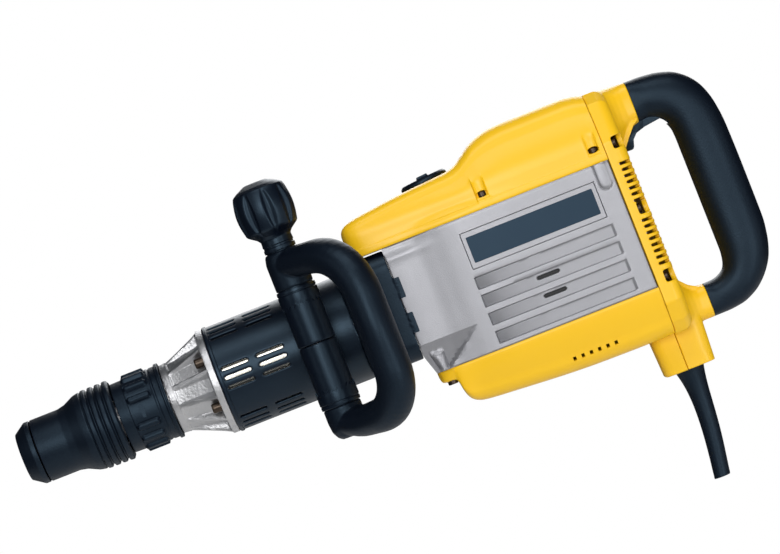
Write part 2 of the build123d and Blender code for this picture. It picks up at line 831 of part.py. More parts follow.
def bottom_form(inset):
    """The bottom cover's solid form, drawn in by inset, without the cord boss."""
    base = body_bottom - 0.2 + 3 * inset
    with BuildPart() as form:
        with BuildSketch(side):
            with BuildLine():
                Polyline((332 + inset, base), (332 + inset, -67 + inset), (346 + inset, -68 + inset),
                         (347.5 + inset, -82), (350 + inset, -87 + inset), (358, -91 + inset), (455, -97 + inset),
                         (518.3 - inset, -97 + inset), (518.3 - inset, base), close=True)
            make_face()
        extrude(amount=60, both=True)
        with BuildSketch(Plane.XY.offset(-100)):
            with BuildLine():
                Polyline((332 + inset, -43 + inset), (332 + inset, 43 - inset), (372, 46 - inset),
                         (384, 54 - inset), (518.3 - inset, 54 - inset), (518.3 - inset, -54 + inset),
                         (384, -54 + inset), (372, -46 + inset), close=True)
            make_face()
        extrude(amount=70, mode=Mode.INTERSECT)
        with BuildSketch(across.offset(320)):
            with BuildLine():
                Polyline((54 - inset, base), (54 - inset, -72), (46 - inset, -88 + inset), (36, -97 + inset),
                         (-36, -97 + inset), (-46 + inset, -88 + inset), (-54 + inset, -72),
                         (-54 + inset, base), close=True)
            make_face()
        extrude(amount=240, mode=Mode.INTERSECT)
    return form


with BuildPart() as bottom_cover:
    add(bottom_form(0).part)
    add(bottom_form(3).part, mode=Mode.SUBTRACT)
    with BuildSketch(Plane.XY.offset(-67)):
        with Locations(*bottom_screw_spots):
            Circle(8)
    extrude(amount=67 + body_bottom - 0.2)
    with BuildSketch(Plane.XY.offset(-128.5)):
        with Locations((509.2, 0)):
            RectangleRounded(18.2, 40, 8)
            Rectangle(9.1, 40, align=(Align.MIN, Align.CENTER))
    extrude(amount=34)
    with BuildSketch(Plane.XY.offset(-124.5)):
        with Locations((512.5, 0)):
            Rectangle(15, 28)
    extrude(amount=40, mode=Mode.SUBTRACT)
    with BuildSketch(Plane.XY.offset(-130)):
        with Locations((521, 0)):
            Circle(12.1)
    extrude(amount=10, mode=Mode.SUBTRACT)
    with BuildSketch(Plane.XY.offset(-105)):
        with Locations(*bottom_screw_spots):
            Circle(4.6)
    extrude(amount=38, mode=Mode.SUBTRACT)
    with BuildSketch(Plane.XY.offset(-105)):
        with Locations(*bottom_screw_spots):
            Circle(2.3)
    extrude(amount=60, mode=Mode.SUBTRACT)
    with BuildSketch(side.offset(-60)):
        with Locations(*[(437 + 7 * step, -86.5) for step in range(6)]):
            Rectangle(2.6, 3)
    extrude(amount=120, mode=Mode.SUBTRACT)
save(bottom_cover, "bottom_cover")

# rear housing and handle
trigger_x, trigger_z = 560.0, 77.0
upper_gusset = ((533, 50), (537, 53.5), (543, 61), (550, 69), (554, 71), (533, 71))
lower_gusset = ((533, -54), (537, -59), (543, -65.5), (550, -69.6), (554, -71), (533, -71))
trigger_pocket = ((535.6, 49), (573, 49), (573, 82), (535.6, 82))

with BuildPart() as rear_housing:
    with BuildSketch(across.offset(cap_front)):
        with BuildLine():
            Polyline((-54, -72), (-46, -88), (-36, -97), (36, -97), (46, -88), (54, -72), (54, 62), (44, 96),
                     (30, 105), (-30, 105), (-44, 96), (-54, 62), close=True)
        make_face()
    extrude(amount=cap_rear - cap_front)
    fillet(rear_housing.part.faces().sort_by(Axis.X)[-1].edges(), 9)
    with BuildSketch(across.offset(cap_front)):
        with BuildLine():
            Polyline((-50.5, -72), (-43, -86), (-34, -93.5), (34, -93.5), (43, -86), (50.5, -72), (50.5, 62),
                     (41, 94), (28, 101.5), (-28, 101.5), (-41, 94), (-50.5, 62), close=True)
        make_face()
    extrude(amount=12.5, mode=Mode.SUBTRACT)
    with BuildSketch(across.offset(524)):
        with Locations((0, 86)):
            RectangleRounded(36, 34, 10)
        with Locations((0, -83.2)):
            RectangleRounded(32, 27.6, 9)
    extrude(amount=31)
    for corners, half_width in ((upper_gusset, 17), (lower_gusset, 15)):
        with BuildSketch(side.offset(-half_width)):
            Polygon(*corners, align=None)
        extrude(amount=2 * half_width)
    with BuildSketch(across.offset(523)):
        with Locations((0, 86)):
            RectangleRounded(28, 26, 6)
        with Locations((0, -83.2)):
            RectangleRounded(24, 20, 5)
    extrude(amount=33, mode=Mode.SUBTRACT)
    with BuildSketch(across.offset(cap_front)):
        with Locations(*rear_screw_spots):
            Circle(8)
    extrude(amount=7.4)
    with BuildSketch(across.offset(cap_front)):
        Rectangle(107.6, 230)
    extrude(amount=40, mode=Mode.INTERSECT)
    with BuildSketch(across.offset(526)):
        with Locations(*rear_screw_spots):
            Circle(5)
        with Locations(*[(1.13 * y, z) for y, z in rear_screw_spots]):
            Rectangle(12, 10)
    extrude(amount=20, mode=Mode.SUBTRACT)
    with BuildSketch(across.offset(cap_front)):
        with Locations(*rear_screw_spots):
            Circle(2.3)
    extrude(amount=20, mode=Mode.SUBTRACT)
    with BuildSketch(Plane.XY.offset(-128.5)):
        with Locations((cap_front, 0)):
            Rectangle(12, 40, align=(Align.MIN, Align.CENTER))
        with Locations((cap_front + 11.7, 0)):
            RectangleRounded(23.4, 40, 8)
        with Locations((cap_front - 15, 0)):
            Rectangle(30, 60, mode=Mode.SUBTRACT)
    extrude(amount=34)
    with BuildSketch(Plane.XY.offset(-124.5)):
        with Locations((526.5, 0)):
            Rectangle(19, 28)
    extrude(amount=40, mode=Mode.SUBTRACT)
    with BuildSketch(Plane.XY.offset(-130)):
        with Locations((521, 0)):
            Circle(12.1)
    extrude(amount=10, mode=Mode.SUBTRACT)
    with BuildSketch(side.offset(-9)):
        Polygon(*trigger_pocket, align=None)
    extrude(amount=18, mode=Mode.SUBTRACT)
    for first, count in ((43.5, 7), (-4.5, 8)):
        with BuildSketch(across.offset(525)):
            with Locations(*[(sign * 50, first - 5.2 * step) for step in range(count) for sign in (-1, 1)]):
                Rectangle(22, 2.4)
        extrude(amount=20, mode=Mode.SUBTRACT)
save(rear_housing, "rear_housing")

grip_front = 555.2
with BuildPart() as rear_grip:
    with BuildSketch(side):
        with BuildLine():
            Polyline((grip_front, 103), (572, 103), (594, 98), (610, 84), (618, 64), (overall_length, 40),
                     (overall_length, -36), (616, -62), (604, -82), (586, -94), (568, -97), (grip_front, -97),
                     (grip_front, -69.5), (566, -69), (574.5, -65), (578, -56), (578, 50), (575, 61),
                     (568, 67), (grip_front, 69), close=True)
        make_face()
    extrude(amount=18, both=True)
    rims = rear_grip.part.faces().sort_by(Axis.Y)[0].edges() + rear_grip.part.faces().sort_by(Axis.Y)[-1].edges()
    fillet([edge for edge in rims if edge.center().X > grip_front + 0.1], 11)
    with BuildSketch(side.offset(-9)):
        with Locations((565, 80)):
            Rectangle(29, 34)
    extrude(amount=18, mode=Mode.SUBTRACT)
    with BuildSketch(side.offset(-20)):
        with Locations((trigger_x, trigger_z)):
            Circle(2)
    extrude(amount=40, mode=Mode.SUBTRACT)
save(rear_grip, "rear_grip")

with BuildPart() as trigger:
    with BuildSketch(side):
        with BuildLine():
            Polyline((574, 65.5), (574, 69), (566, 80), (556, 81.5), (550, 74), (541, 68.5), (537, 60),
                     (536.4, 52.5), (540, 50.5), (543.5, 57), (549, 62), (558, 64.5), close=True)
        make_face()
        with Locations((trigger_x, trigger_z)):
            Circle(2 + run_gap, mode=Mode.SUBTRACT)
    extrude(amount=8, both=True)
save(trigger, "trigger")

with BuildPart() as trigger_pin:
    with BuildSketch(side):
        with Locations((trigger_x, trigger_z)):
            Circle(2)
    extrude(amount=14, both=True)
save(trigger_pin, "trigger_pin")

with BuildPart() as trigger_spring:
    with BuildLine() as coil_path:
        Helix(1.6, 6.4, 2.4, center=(571, 0, 76.8))
    with BuildSketch(Plane(origin=coil_path.line @ 0, z_dir=coil_path.line % 0)):
        Circle(0.4)
    sweep(is_frenet=True)
save(trigger_spring, "trigger_spring")

with BuildPart() as switch_module:
    with BuildSketch(Plane.XY.offset(84)):
        with Locations((565, 0)):
            Rectangle(26, 17)
    extrude(amount=12)
save(switch_module, "switch_module")

# cord entry
guard_stations = ((-128.5, 521.0, 12.0), (-140, 521.2, 9.6), (-154, 521.0, 8.2),
                  (-184, 518.8, 7.3), (-214, 514.5, 6.8), (-218.5, 513.8, 6.8))
with BuildPart() as cord_guard:
    with BuildSketch(Plane.XY.offset(-128.5)):
        with Locations((521, 0)):
            Circle(12)
    extrude(amount=7)
    for level, x, radius in guard_stations:
        with BuildSketch(Plane.XY.offset(level)):
            with Locations((x, 0)):
                Circle(radius)
    loft()
    with BuildSketch(Plane.XY.offset(-128.5)):
        with Locations((521, 0)):
            Circle(4.5)
    extrude(amount=7, mode=Mode.SUBTRACT)
    for level, x, radius in guard_stations:
        with BuildSketch(Plane.XY.offset(level)):
            with Locations((x, 0)):
                Circle(4.5)
    loft(mode=Mode.SUBTRACT)
save(cord_guard, "cord_guard")

with BuildPart() as cord_clamp:
    with BuildSketch(Plane.XY.offset(-119)):
        with Locations((521, 0)):
            Rectangle(11, 25)
            Circle(4, mode=Mode.SUBTRACT)
    extrude(amount=9)
save(cord_clamp, "cord_clamp")

# screws
with BuildPart() as housing_screws:
    with BuildSketch(Plane.XY.offset(60)):
        with Locations(*cover_screw_spots):
            Circle(4.1)
            RegularPolygon(2, 6, mode=Mode.SUBTRACT)
    extrude(amount=3.2)
    with BuildSketch(Plane.XY.offset(36)):
        with Locations(*cover_screw_spots):
            Circle(screw_shank)
    extrude(amount=25)
    with BuildSketch(Plane.XY.offset(-70.2)):
        with Locations(*bottom_screw_spots):
            Circle(4.1)
            RegularPolygon(2, 6, mode=Mode.SUBTRACT)
    extrude(amount=3.2)
    with BuildSketch(Plane.XY.offset(-68)):
        with Locations(*bottom_screw_spots):
            Circle(screw_shank)
    extrude(amount=21)
    with BuildSketch(across.offset(526)):
        with Locations(*rear_screw_spots):
            Circle(4.1)
            RegularPolygon(2, 6, mode=Mode.SUBTRACT)
    extrude(amount=3.2)
    with BuildSketch(across.offset(515)):
        with Locations(*rear_screw_spots):
            Circle(screw_shank)
    extrude(amount=12)
save(housing_screws, "housing_screws")

# side handle
jaw_inner = barrel_outer + 0.3
jaw_outer = 48.5
hinge_y = 51.0


def jaw(sign, reach, knuckles, gaps):
    """One half of the barrel clamp with its half of the bar; knuckles and gaps are (start, end) along X."""
    with BuildPart() as half:
        with BuildSketch(across.offset(bar_x - 13)):
            Circle(jaw_outer)
            with Locations((bar_y / 2 - 22, 0)):
                Rectangle(18, 36)
        extrude(amount=26)
        with BuildSketch(Plane.XY):
            with Locations((bar_x, bar_y)):
                Circle(15.5)
        extrude(amount=sign * reach)
        with BuildSketch(across.offset(bar_x - 30)):
            Circle(jaw_inner)
        extrude(amount=60, mode=Mode.SUBTRACT)
        split(bisect_by=Plane.XY.offset(0.2 * sign), keep=Keep.TOP if sign > 0 else Keep.BOTTOM)
        for start, end in knuckles:
            with BuildSketch(across.offset(start)):
                with Locations((hinge_y, 0)):
                    Circle(6)
            extrude(amount=end - start)
        for start, end in gaps:
            with BuildSketch(across.offset(start)):
                with Locations((hinge_y, 0)):
                    Circle(6.3)
            extrude(amount=end - start, mode=Mode.SUBTRACT)
        with BuildSketch(across.offset(bar_x - 20)):
            Circle(jaw_inner)
            with Locations((hinge_y, 0)):
                Circle(2.5)
        extrude(amount=40, mode=Mode.SUBTRACT)
        with BuildSketch(Plane.XY.offset(-80)):
            with Locations((bar_x, bar_y)):
                Circle(5.2)
        extrude(amount=160, mode=Mode.SUBTRACT)
    return half


outer_knuckles = [(bar_x - 13, bar_x - 5), (bar_x + 5, bar_x + 13)]
middle_knuckle = [(bar_x - 4.8, bar_x + 4.8)]
middle_gap = [(bar_x - 5, bar_x + 5)]
outer_gaps = [(bar_x - 13.2, bar_x - 4.8), (bar_x + 4.8, bar_x + 13.2)]
save(jaw(1, 48, outer_knuckles, middle_gap), "clamp_jaw_upper")
save(jaw(-1, 58, middle_knuckle, outer_gaps), "clamp_jaw_lower")

with BuildPart() as clamp_hinge_pin:
    with BuildSketch(across.offset(bar_x - 14)):
        with Locations((hinge_y, 0)):
            Circle(2.48)
    extrude(amount=28)
save(clamp_hinge_pin, "clamp_hinge_pin")

with BuildPart() as clamp_bolt:
    with BuildSketch(Plane.XY.offset(-82)):
        with Locations((bar_x, bar_y)):
            RegularPolygon(9, 6)
    extrude(amount=7)
    with BuildSketch(Plane.XY.offset(-75)):
        with Locations((bar_x, bar_y)):
            Circle(5)
    extrude(amount=193)
save(clamp_bolt, "clamp_bolt")

loop_angle = math.radians(loop_turn)
leg_x = bar_x + loop_reach * math.cos(loop_angle)
leg_y = bar_y - loop_reach * math.sin(loop_angle)
swell_radius = 18.5
loop_plane = Plane(
    origin=(bar_x, bar_y, 0),
    x_dir=(math.cos(loop_angle), -math.sin(loop_angle), 0),
    z_dir=(-math.sin(loop_angle), -math.cos(loop_angle), 0),
)
with BuildPart() as side_loop:
    with BuildLine(loop_plane) as loop_path:
        FilletPolyline((0, 63), (loop_reach, 63), (loop_reach, -73), (0, -73), radius=40)
    with BuildSketch(Plane(origin=loop_path.line @ 0, z_dir=loop_path.line % 0)):
        Circle(loop_radius)
    sweep()
    with BuildSketch(Plane(origin=(leg_x, leg_y, 0), x_dir=(1, 0, 0), z_dir=(0, -1, 0))):
        with BuildLine():
            Polyline((loop_radius - 0.2, 30), (0, 30), (0, -40), (loop_radius - 0.2, -40))
            Spline((loop_radius - 0.2, 30), (swell_radius, -5), (loop_radius - 0.2, -40))
        make_face()
    revolve(axis=Axis((leg_x, leg_y, 0), (0, 0, 1)))
    for low, high in ((48.3, 77.7), (-87.7, -58.3)):
        with BuildSketch(Plane.XY.offset(low)):
            with Locations((bar_x, bar_y)):
                Circle(15.5)
        extrude(amount=high - low)
    with BuildSketch(Plane.XY.offset(-90)):
        with Locations((bar_x, bar_y)):
            Circle(5.2)
    extrude(amount=180, mode=Mode.SUBTRACT)
    with BuildSketch(Plane.XY.offset(-90)):
        with Locations((bar_x, bar_y)):
            Circle(10.2)
    extrude(amount=15.2, mode=Mode.SUBTRACT)
save(side_loop, "side_loop")

with BuildPart() as clamp_knob:
    with BuildSketch(Plane.XZ.offset(-bar_y)):
        with BuildLine():
            Polyline((bar_x, 78.2), (bar_x + 11.5, 78.2), (bar_x + 11.5, 89), (bar_x + 15, 91.5),
                     (bar_x + 21.5, 96), (bar_x + 23.7, 108), (bar_x + 23.7, 122), (bar_x + 21, 129),
                     (bar_x + 13, 133.6), (bar_x, 135), close=True)
        make_face()
    revolve(axis=Axis((bar_x, bar_y, 0), (0, 0, 1)))
    with BuildSketch(Plane.XY.offset(92)):
        with Locations((bar_x, bar_y)):
            with PolarLocations(26.5, 9):
                Circle(4.2)
    extrude(amount=36, mode=Mode.SUBTRACT)
    with BuildSketch(Plane.XY.offset(78)):
        with Locations((bar_x, bar_y)):
            Circle(5 + run_gap)
    extrude(amount=40.2, mode=Mode.SUBTRACT)
save(clamp_knob, "clamp_knob")
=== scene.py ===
import bpy
import bmesh
import json
import math
from mathutils import Vector, Matrix


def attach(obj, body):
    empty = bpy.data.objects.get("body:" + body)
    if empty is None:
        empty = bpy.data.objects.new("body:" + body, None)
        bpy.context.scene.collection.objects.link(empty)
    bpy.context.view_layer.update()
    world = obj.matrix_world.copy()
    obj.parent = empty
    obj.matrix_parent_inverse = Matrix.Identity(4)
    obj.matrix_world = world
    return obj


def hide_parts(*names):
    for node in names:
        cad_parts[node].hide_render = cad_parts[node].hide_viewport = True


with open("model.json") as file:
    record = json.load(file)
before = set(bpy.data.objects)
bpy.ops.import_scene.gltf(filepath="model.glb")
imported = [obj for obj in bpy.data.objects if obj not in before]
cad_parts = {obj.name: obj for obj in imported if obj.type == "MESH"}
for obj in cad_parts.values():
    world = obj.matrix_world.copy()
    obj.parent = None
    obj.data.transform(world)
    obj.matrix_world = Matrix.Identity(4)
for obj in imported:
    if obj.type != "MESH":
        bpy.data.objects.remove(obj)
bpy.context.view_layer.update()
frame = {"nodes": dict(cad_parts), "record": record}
nodes = frame["nodes"]
mm = 0.001


# shader groups shared by several finishes
def newGroup(name, inputs, outputs):
    group = bpy.data.node_groups.new(name, "ShaderNodeTree")
    for socketName, kind, value in inputs:
        socket = group.interface.new_socket(socketName, in_out="INPUT", socket_type=kind)
        socket.default_value = value
    for socketName, kind in outputs:
        group.interface.new_socket(socketName, in_out="OUTPUT", socket_type=kind)
    start = group.nodes.new("NodeGroupInput")
    end = group.nodes.new("NodeGroupOutput")
    return group, start, end


def mathNode(tree, operation, *values):
    # one math node; each value is a number or the socket that feeds it
    node = tree.nodes.new("ShaderNodeMath")
    node.operation = operation
    for socket, value in zip(node.inputs, values):
        if isinstance(value, (int, float)):
            socket.default_value = value
        else:
            tree.links.new(value, socket)
    return node


def noiseNode(group, place, detail, scale):
    # noise on the piece's own coordinates; scale is a number or the socket that feeds it
    noise = group.nodes.new("ShaderNodeTexNoise")
    noise.inputs["Detail"].default_value = detail
    group.links.new(place.outputs["Object"], noise.inputs["Vector"])
    if isinstance(scale, float):
        noise.inputs["Scale"].default_value = scale
    else:
        group.links.new(scale, noise.inputs["Scale"])
    return noise


def makeGrainGroup():
    # fine moulded or cast texture: a bump height and a matching roughness mask
    group, start, end = newGroup(
        "surfaceGrain",
        [("Scale", "NodeSocketFloat", 900.0), ("Depth", "NodeSocketFloat", 0.2), ("Roughness", "NodeSocketFloat", 0.4),
         ("Spread", "NodeSocketFloat", 0.08)],
        [("Normal", "NodeSocketVector"), ("Roughness", "NodeSocketFloat")])
    links = group.links
    place = group.nodes.new("ShaderNodeTexCoord")
    fine = noiseNode(group, place, 3.0, start.outputs["Scale"])
    broad = noiseNode(group, place, 4.0, 35.0)
    bump = group.nodes.new("ShaderNodeBump")
    bump.inputs["Distance"].default_value = 0.0004
    links.new(start.outputs["Depth"], bump.inputs["Strength"])
    links.new(fine.outputs["Fac"], bump.inputs["Height"])
    links.new(bump.outputs["Normal"], end.inputs["Normal"])
    centred = mathNode(group, "SUBTRACT", broad.outputs["Fac"], 0.5)
    scaled = mathNode(group, "MULTIPLY_ADD", centred.outputs[0], start.outputs["Spread"], start.outputs["Roughness"])
    links.new(scaled.outputs[0], end.inputs["Roughness"])
    return group


def makeToneGroup():
    # slow colour drift between two tones, with a little fine speckle
    group, start, end = newGroup(
        "toneDrift",
        [("Main", "NodeSocketColor", (0.5, 0.5, 0.5, 1)), ("Other", "NodeSocketColor", (0.4, 0.4, 0.4, 1)),
         ("Scale", "NodeSocketFloat", 14.0), ("Contrast", "NodeSocketFloat", 0.5)],
        [("Color", "NodeSocketColor")])
    links = group.links
    place = group.nodes.new("ShaderNodeTexCoord")
    cloud = noiseNode(group, place, 6.0, start.outputs["Scale"])
    cloud.inputs["Roughness"].default_value = 0.6
    gain = mathNode(group, "MULTIPLY", cloud.outputs["Fac"], start.outputs["Contrast"])
    gain.use_clamp = True
    mix = group.nodes.new("ShaderNodeMix")
    mix.data_type = "RGBA"
    links.new(gain.outputs[0], mix.inputs["Factor"])
    links.new(start.outputs["Main"], mix.inputs["A"])
    links.new(start.outputs["Other"], mix.inputs["B"])
    links.new(mix.outputs["Result"], end.inputs["Color"])
    return group


grainGroup = makeGrainGroup()
toneGroup = makeToneGroup()


def setInputs(node, values):
    for key, value in values.items():
        node.inputs[key].default_value = value


def finish(name, main, other, roughness, spread=0.08, scale=900.0, depth=0.2, metallic=0.0, coat=0.0,
           coatRoughness=0.1, toneScale=14.0, contrast=0.5, specular=0.5, tint=(1, 1, 1)):
    material = bpy.data.materials.new(name)
    material.use_nodes = True
    tree = material.node_tree
    shader = tree.nodes["Principled BSDF"]
    setInputs(shader, {"Metallic": metallic, "Coat Weight": coat, "Coat Roughness": coatRoughness,
                       "Specular IOR Level": specular, "Specular Tint": (*tint, 1)})
    tone = tree.nodes.new("ShaderNodeGroup")
    tone.node_tree = toneGroup
    setInputs(tone, {"Main": (*main, 1), "Other": (*other, 1), "Scale": toneScale, "Contrast": contrast})
    tree.links.new(tone.outputs["Color"], shader.inputs["Base Color"])
    grain = tree.nodes.new("ShaderNodeGroup")
    grain.node_tree = grainGroup
    setInputs(grain, {"Scale": scale, "Depth": depth, "Roughness": roughness, "Spread": spread})
    tree.links.new(grain.outputs["Roughness"], shader.inputs["Roughness"])
    tree.links.new(grain.outputs["Normal"], shader.inputs["Normal"])
    return material


print("finishes")
coolTint = (0.50, 0.76, 1.0)
finishes = {
    "yellow_shell": finish("yellowShell", (0.95, 0.575, 0.006), (0.92, 0.49, 0.004), 0.40, 0.06, 1400, 0.12,
                           coat=0.15, coatRoughness=0.25, specular=0.45),
    "black_plastic": finish("blackPlastic", (0.0010, 0.0022, 0.0070), (0.0024, 0.0042, 0.0095), 0.38, 0.10, 1100, 0.22,
                            tint=coolTint),
    "black_case": finish("blackCase", (0.0010, 0.0022, 0.0070), (0.0026, 0.0044, 0.0100), 0.42, 0.10, 900, 0.25,
                         tint=coolTint),
    "soft_rubber": finish("softRubber", (0.0008, 0.0018, 0.0062), (0.0020, 0.0036, 0.0085), 0.46, 0.10, 700, 0.35,
                          specular=0.45, tint=coolTint),
    "silver_body": finish("silverBody", (0.355, 0.355, 0.378), (0.295, 0.30, 0.318), 0.43, 0.08, 1600, 0.3,
                          metallic=0.78),
    "cast_aluminium": finish("castAluminium", (0.62, 0.62, 0.63), (0.40, 0.41, 0.43), 0.42, 0.18, 520, 0.7,
                             metallic=1.0, toneScale=70),
    "badge_plate": finish("badgePlate", (0.0040, 0.0120, 0.0260), (0.007, 0.016, 0.032), 0.40, 0.05, 1500, 0.1,
                          tint=coolTint),
    "bright_tube": finish("brightTube", (0.60, 0.58, 0.52), (0.48, 0.46, 0.40), 0.24, 0.08, 400, 0.1, metallic=1.0),
    "machined_steel": finish("machinedSteel", (0.50, 0.50, 0.51), (0.40, 0.40, 0.42), 0.28, 0.10, 600, 0.15,
                             metallic=1.0),
    "piston_alloy": finish("pistonAlloy", (0.66, 0.66, 0.68), (0.56, 0.56, 0.58), 0.30, 0.10, 600, 0.15, metallic=1.0),
    "spring_steel": finish("springSteel", (0.26, 0.26, 0.28), (0.18, 0.18, 0.20), 0.35, 0.1, 800, 0.1, metallic=1.0),
    "seal_rubber": finish("sealRubber", (0.008, 0.008, 0.008), (0.016, 0.016, 0.016), 0.45, 0.05, 800, 0.1),
    "laminated_iron": finish("laminatedIron", (0.16, 0.16, 0.17), (0.10, 0.10, 0.11), 0.45, 0.1, 500, 0.3,
                             metallic=0.9),
    "copper_winding": finish("copperWinding", (0.60, 0.22, 0.10), (0.45, 0.15, 0.07), 0.35, 0.1, 500, 0.3,
                             metallic=0.9),
    "carbon": finish("carbon", (0.03, 0.03, 0.032), (0.05, 0.05, 0.05), 0.6, 0.1, 500, 0.3),
    "dark_moulding": finish("darkMoulding", (0.006, 0.006, 0.007), (0.012, 0.012, 0.014), 0.55, 0.1, 700, 0.2),
    "screw_steel": finish("screwSteel", (0.085, 0.062, 0.045), (0.035, 0.032, 0.032), 0.36, 0.12, 700, 0.15,
                          metallic=0.9),
}
slotOf = {part["node"]: part["material_slot"] for part in frame["record"]["subparts"]}
bodyOf = {node: body for body, members in frame["record"]["behaviour"]["bodies"].items() for node in members}
for node, thing in nodes.items():
    thing.data.materials.clear()
    thing.data.materials.append(finishes[slotOf[node]])


# mesh helpers, sizes in millimetres
def smoothShade(mesh, angle=32):
    mesh.polygons.foreach_set("use_smooth", [True] * len(mesh.polygons))
    mesh.set_sharp_from_angle(angle=math.radians(angle))


def makeMesh(name, points, faces, material, angle=32):
    mesh = bpy.data.meshes.new(name)
    mesh.from_pydata([(x * mm, y * mm, z * mm) for x, y, z in points], [], faces)
    bm = bmesh.new()
    bm.from_mesh(mesh)
    bmesh.ops.remove_doubles(bm, verts=bm.verts, dist=0.002 * mm)
    bmesh.ops.dissolve_degenerate(bm, edges=bm.edges, dist=0.0005 * mm)
    bmesh.ops.recalc_face_normals(bm, faces=bm.faces)
    bm.to_mesh(mesh)
    bm.free()
    smoothShade(mesh, angle)
    mesh.materials.append(material)
    thing = bpy.data.objects.new(name, mesh)
    bpy.context.scene.collection.objects.link(thing)
    return thing


def step(edge0, edge1, value):
    # smooth rise from 0 to 1
    t = min(1.0, max(0.0, (value - edge0) / (edge1 - edge0)))
    return t * t * (3 - 2 * t)


def bump(centre, half, soft, value):
    # 1 within half of the centre, easing to 0 over soft
    return 1 - step(half, half + soft, abs(value - centre))


def curveThrough(points):
    # a smooth function through (place, value) pairs that doesn't overshoot
    places = [p for p, v in points]
    values = [v for p, v in points]
    slopes = []
    for i in range(len(points)):
        before = (values[i] - values[i - 1]) / (places[i] - places[i - 1]) if i else None
        after = (values[i + 1] - values[i]) / (places[i + 1] - places[i]) if i < len(points) - 1 else None
        if before is None or after is None:
            slopes.append(after if before is None else before)
        elif before * after <= 0:
            slopes.append(0.0)
        else:
            slopes.append(2 * before * after / (before + after))

    def at(place):
        if place <= places[0]:
            return values[0]
        if place >= places[-1]:
            return values[-1]
        i = next(k for k in range(len(places) - 1) if places[k + 1] >= place)
        width = places[i + 1] - places[i]
        t = (place - places[i]) / width
        return (values[i] * (1 + 2 * t) * (1 - t) ** 2 + slopes[i] * width * t * (1 - t) ** 2
                + values[i + 1] * t * t * (3 - 2 * t) + slopes[i + 1] * width * t * t * (t - 1))
    return at


def loft(name, loops, material, closedLoop=True, caps=True, angle=32):
    # skins a list of point loops; caps closes both ends
    count = len(loops[0])
    points = [p for loop in loops for p in loop]
    faces = []
    last = count if closedLoop else count - 1
    for i in range(len(loops) - 1):
        for j in range(last):
            k = (j + 1) % count
            faces.append((i * count + j, i * count + k, (i + 1) * count + k, (i + 1) * count + j))
    if caps:
        faces.append(tuple(range(count)))
        faces.append(tuple(range((len(loops) - 1) * count, len(loops) * count)))
    return makeMesh(name, points, faces, material, angle)


def filletOutline(corners, steps=5):
    # corners are (u, v, radius) of a closed outline; each is rounded by its radius
    outline = []
    count = len(corners)
    for i, (u, v, radius) in enumerate(corners):
        here = Vector((u, v))
        toBack = Vector(corners[i - 1][:2]) - here
        toNext = Vector(corners[(i + 1) % count][:2]) - here
        if radius <= 0:
            outline.append((u, v))
            continue
        half = toBack.angle(toNext) / 2
        reach = min(radius / math.tan(half), toBack.length * 0.48, toNext.length * 0.48)
        real = reach * math.tan(half)
        a = here + toBack.normalized() * reach
        b = here + toNext.normalized() * reach
        middle = here + (toBack.normalized() + toNext.normalized()).normalized() * (real / math.sin(half))
        startAngle = math.atan2(a.y - middle.y, a.x - middle.x)
        sweep = math.atan2(b.y - middle.y, b.x - middle.x) - startAngle
        sweep = (sweep + math.pi) % (2 * math.pi) - math.pi
        for k in range(steps + 1):
            turn = startAngle + sweep * k / steps
            outline.append((middle.x + real * math.cos(turn), middle.y + real * math.sin(turn)))
    return outline


def lathe(name, corners, material, segments=144, axisPlace=(0, 0), upright=False, angle=32, shape=None):
    # turns a rounded outline of (place, radius, fillet) corners about X, or about a Z axis at axisPlace
    outline = filletOutline(corners)
    loops = []
    for s in range(segments):
        turn = 2 * math.pi * s / segments
        loop = []
        for place, radius in outline:
            if shape:
                radius = shape(place, radius, turn)
            if upright:
                loop.append((axisPlace[0] + radius * math.cos(turn), axisPlace[1] + radius * math.sin(turn), place))
            else:
                loop.append((place, axisPlace[0] + radius * math.sin(turn), axisPlace[1] + radius * math.cos(turn)))
        loops.append(loop)
    loops.append(loops[0])
    return loft(name, loops, material, caps=False, angle=angle)


def applyAll(thing):
    graph = bpy.context.evaluated_depsgraph_get()
    done = bpy.data.meshes.new_from_object(thing.evaluated_get(graph))
    thing.modifiers.clear()
    thing.data = done


def takeOver(thing, *replaced):
    # a finished piece stands for CAD nodes and moves with their body
    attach(thing, bodyOf[replaced[0]])
    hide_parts(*replaced)
    return thing


def cadCopy(node):
    mesh = nodes[node].data.copy()
    bm = bmesh.new()
    bm.from_mesh(mesh)
    bmesh.ops.remove_doubles(bm, verts=bm.verts, dist=1e-6)
    bm.to_mesh(mesh)
    bm.free()
    thing = bpy.data.objects.new(node + "_shell", mesh)
    bpy.context.scene.collection.objects.link(thing)
    return thing


def wearRound(thing, voxel, rounds, keep=0.0):
    # remeshes evenly and relaxes, so edges and joins are worn round as moulded ones are
    remesh = thing.modifiers.new("remesh", "REMESH")
    remesh.mode = "VOXEL"
    remesh.voxel_size = voxel * mm
    relax = thing.modifiers.new("relax", "SMOOTH")
    relax.factor = 0.5
    relax.iterations = rounds
    if keep:
        thin = thing.modifiers.new("thin", "DECIMATE")
        thin.ratio = keep
    applyAll(thing)
    smoothShade(thing.data, 60)


def soften(node, voxel=0.8, rounds=5, keep=0.0):
    # a copy of a CAD node with worn edges that stands for the node
    thing = cadCopy(node)
    wearRound(thing, voxel, rounds, keep)
    thing.data.materials.clear()
    thing.data.materials.append(finishes[slotOf[node]])
    print(node, "softened", len(thing.data.polygons), "faces")
    return takeOver(thing, node)


def joined(name, things, material):
    bm = bmesh.new()
    for thing in things:
        bm.from_mesh(thing.data)
    mesh = bpy.data.meshes.new(name)
    bm.to_mesh(mesh)
    bm.free()
    for thing in things:
        bpy.data.objects.remove(thing)
    mesh.materials.append(material)
    whole = bpy.data.objects.new(name, mesh)
    bpy.context.scene.collection.objects.link(whole)
    return whole


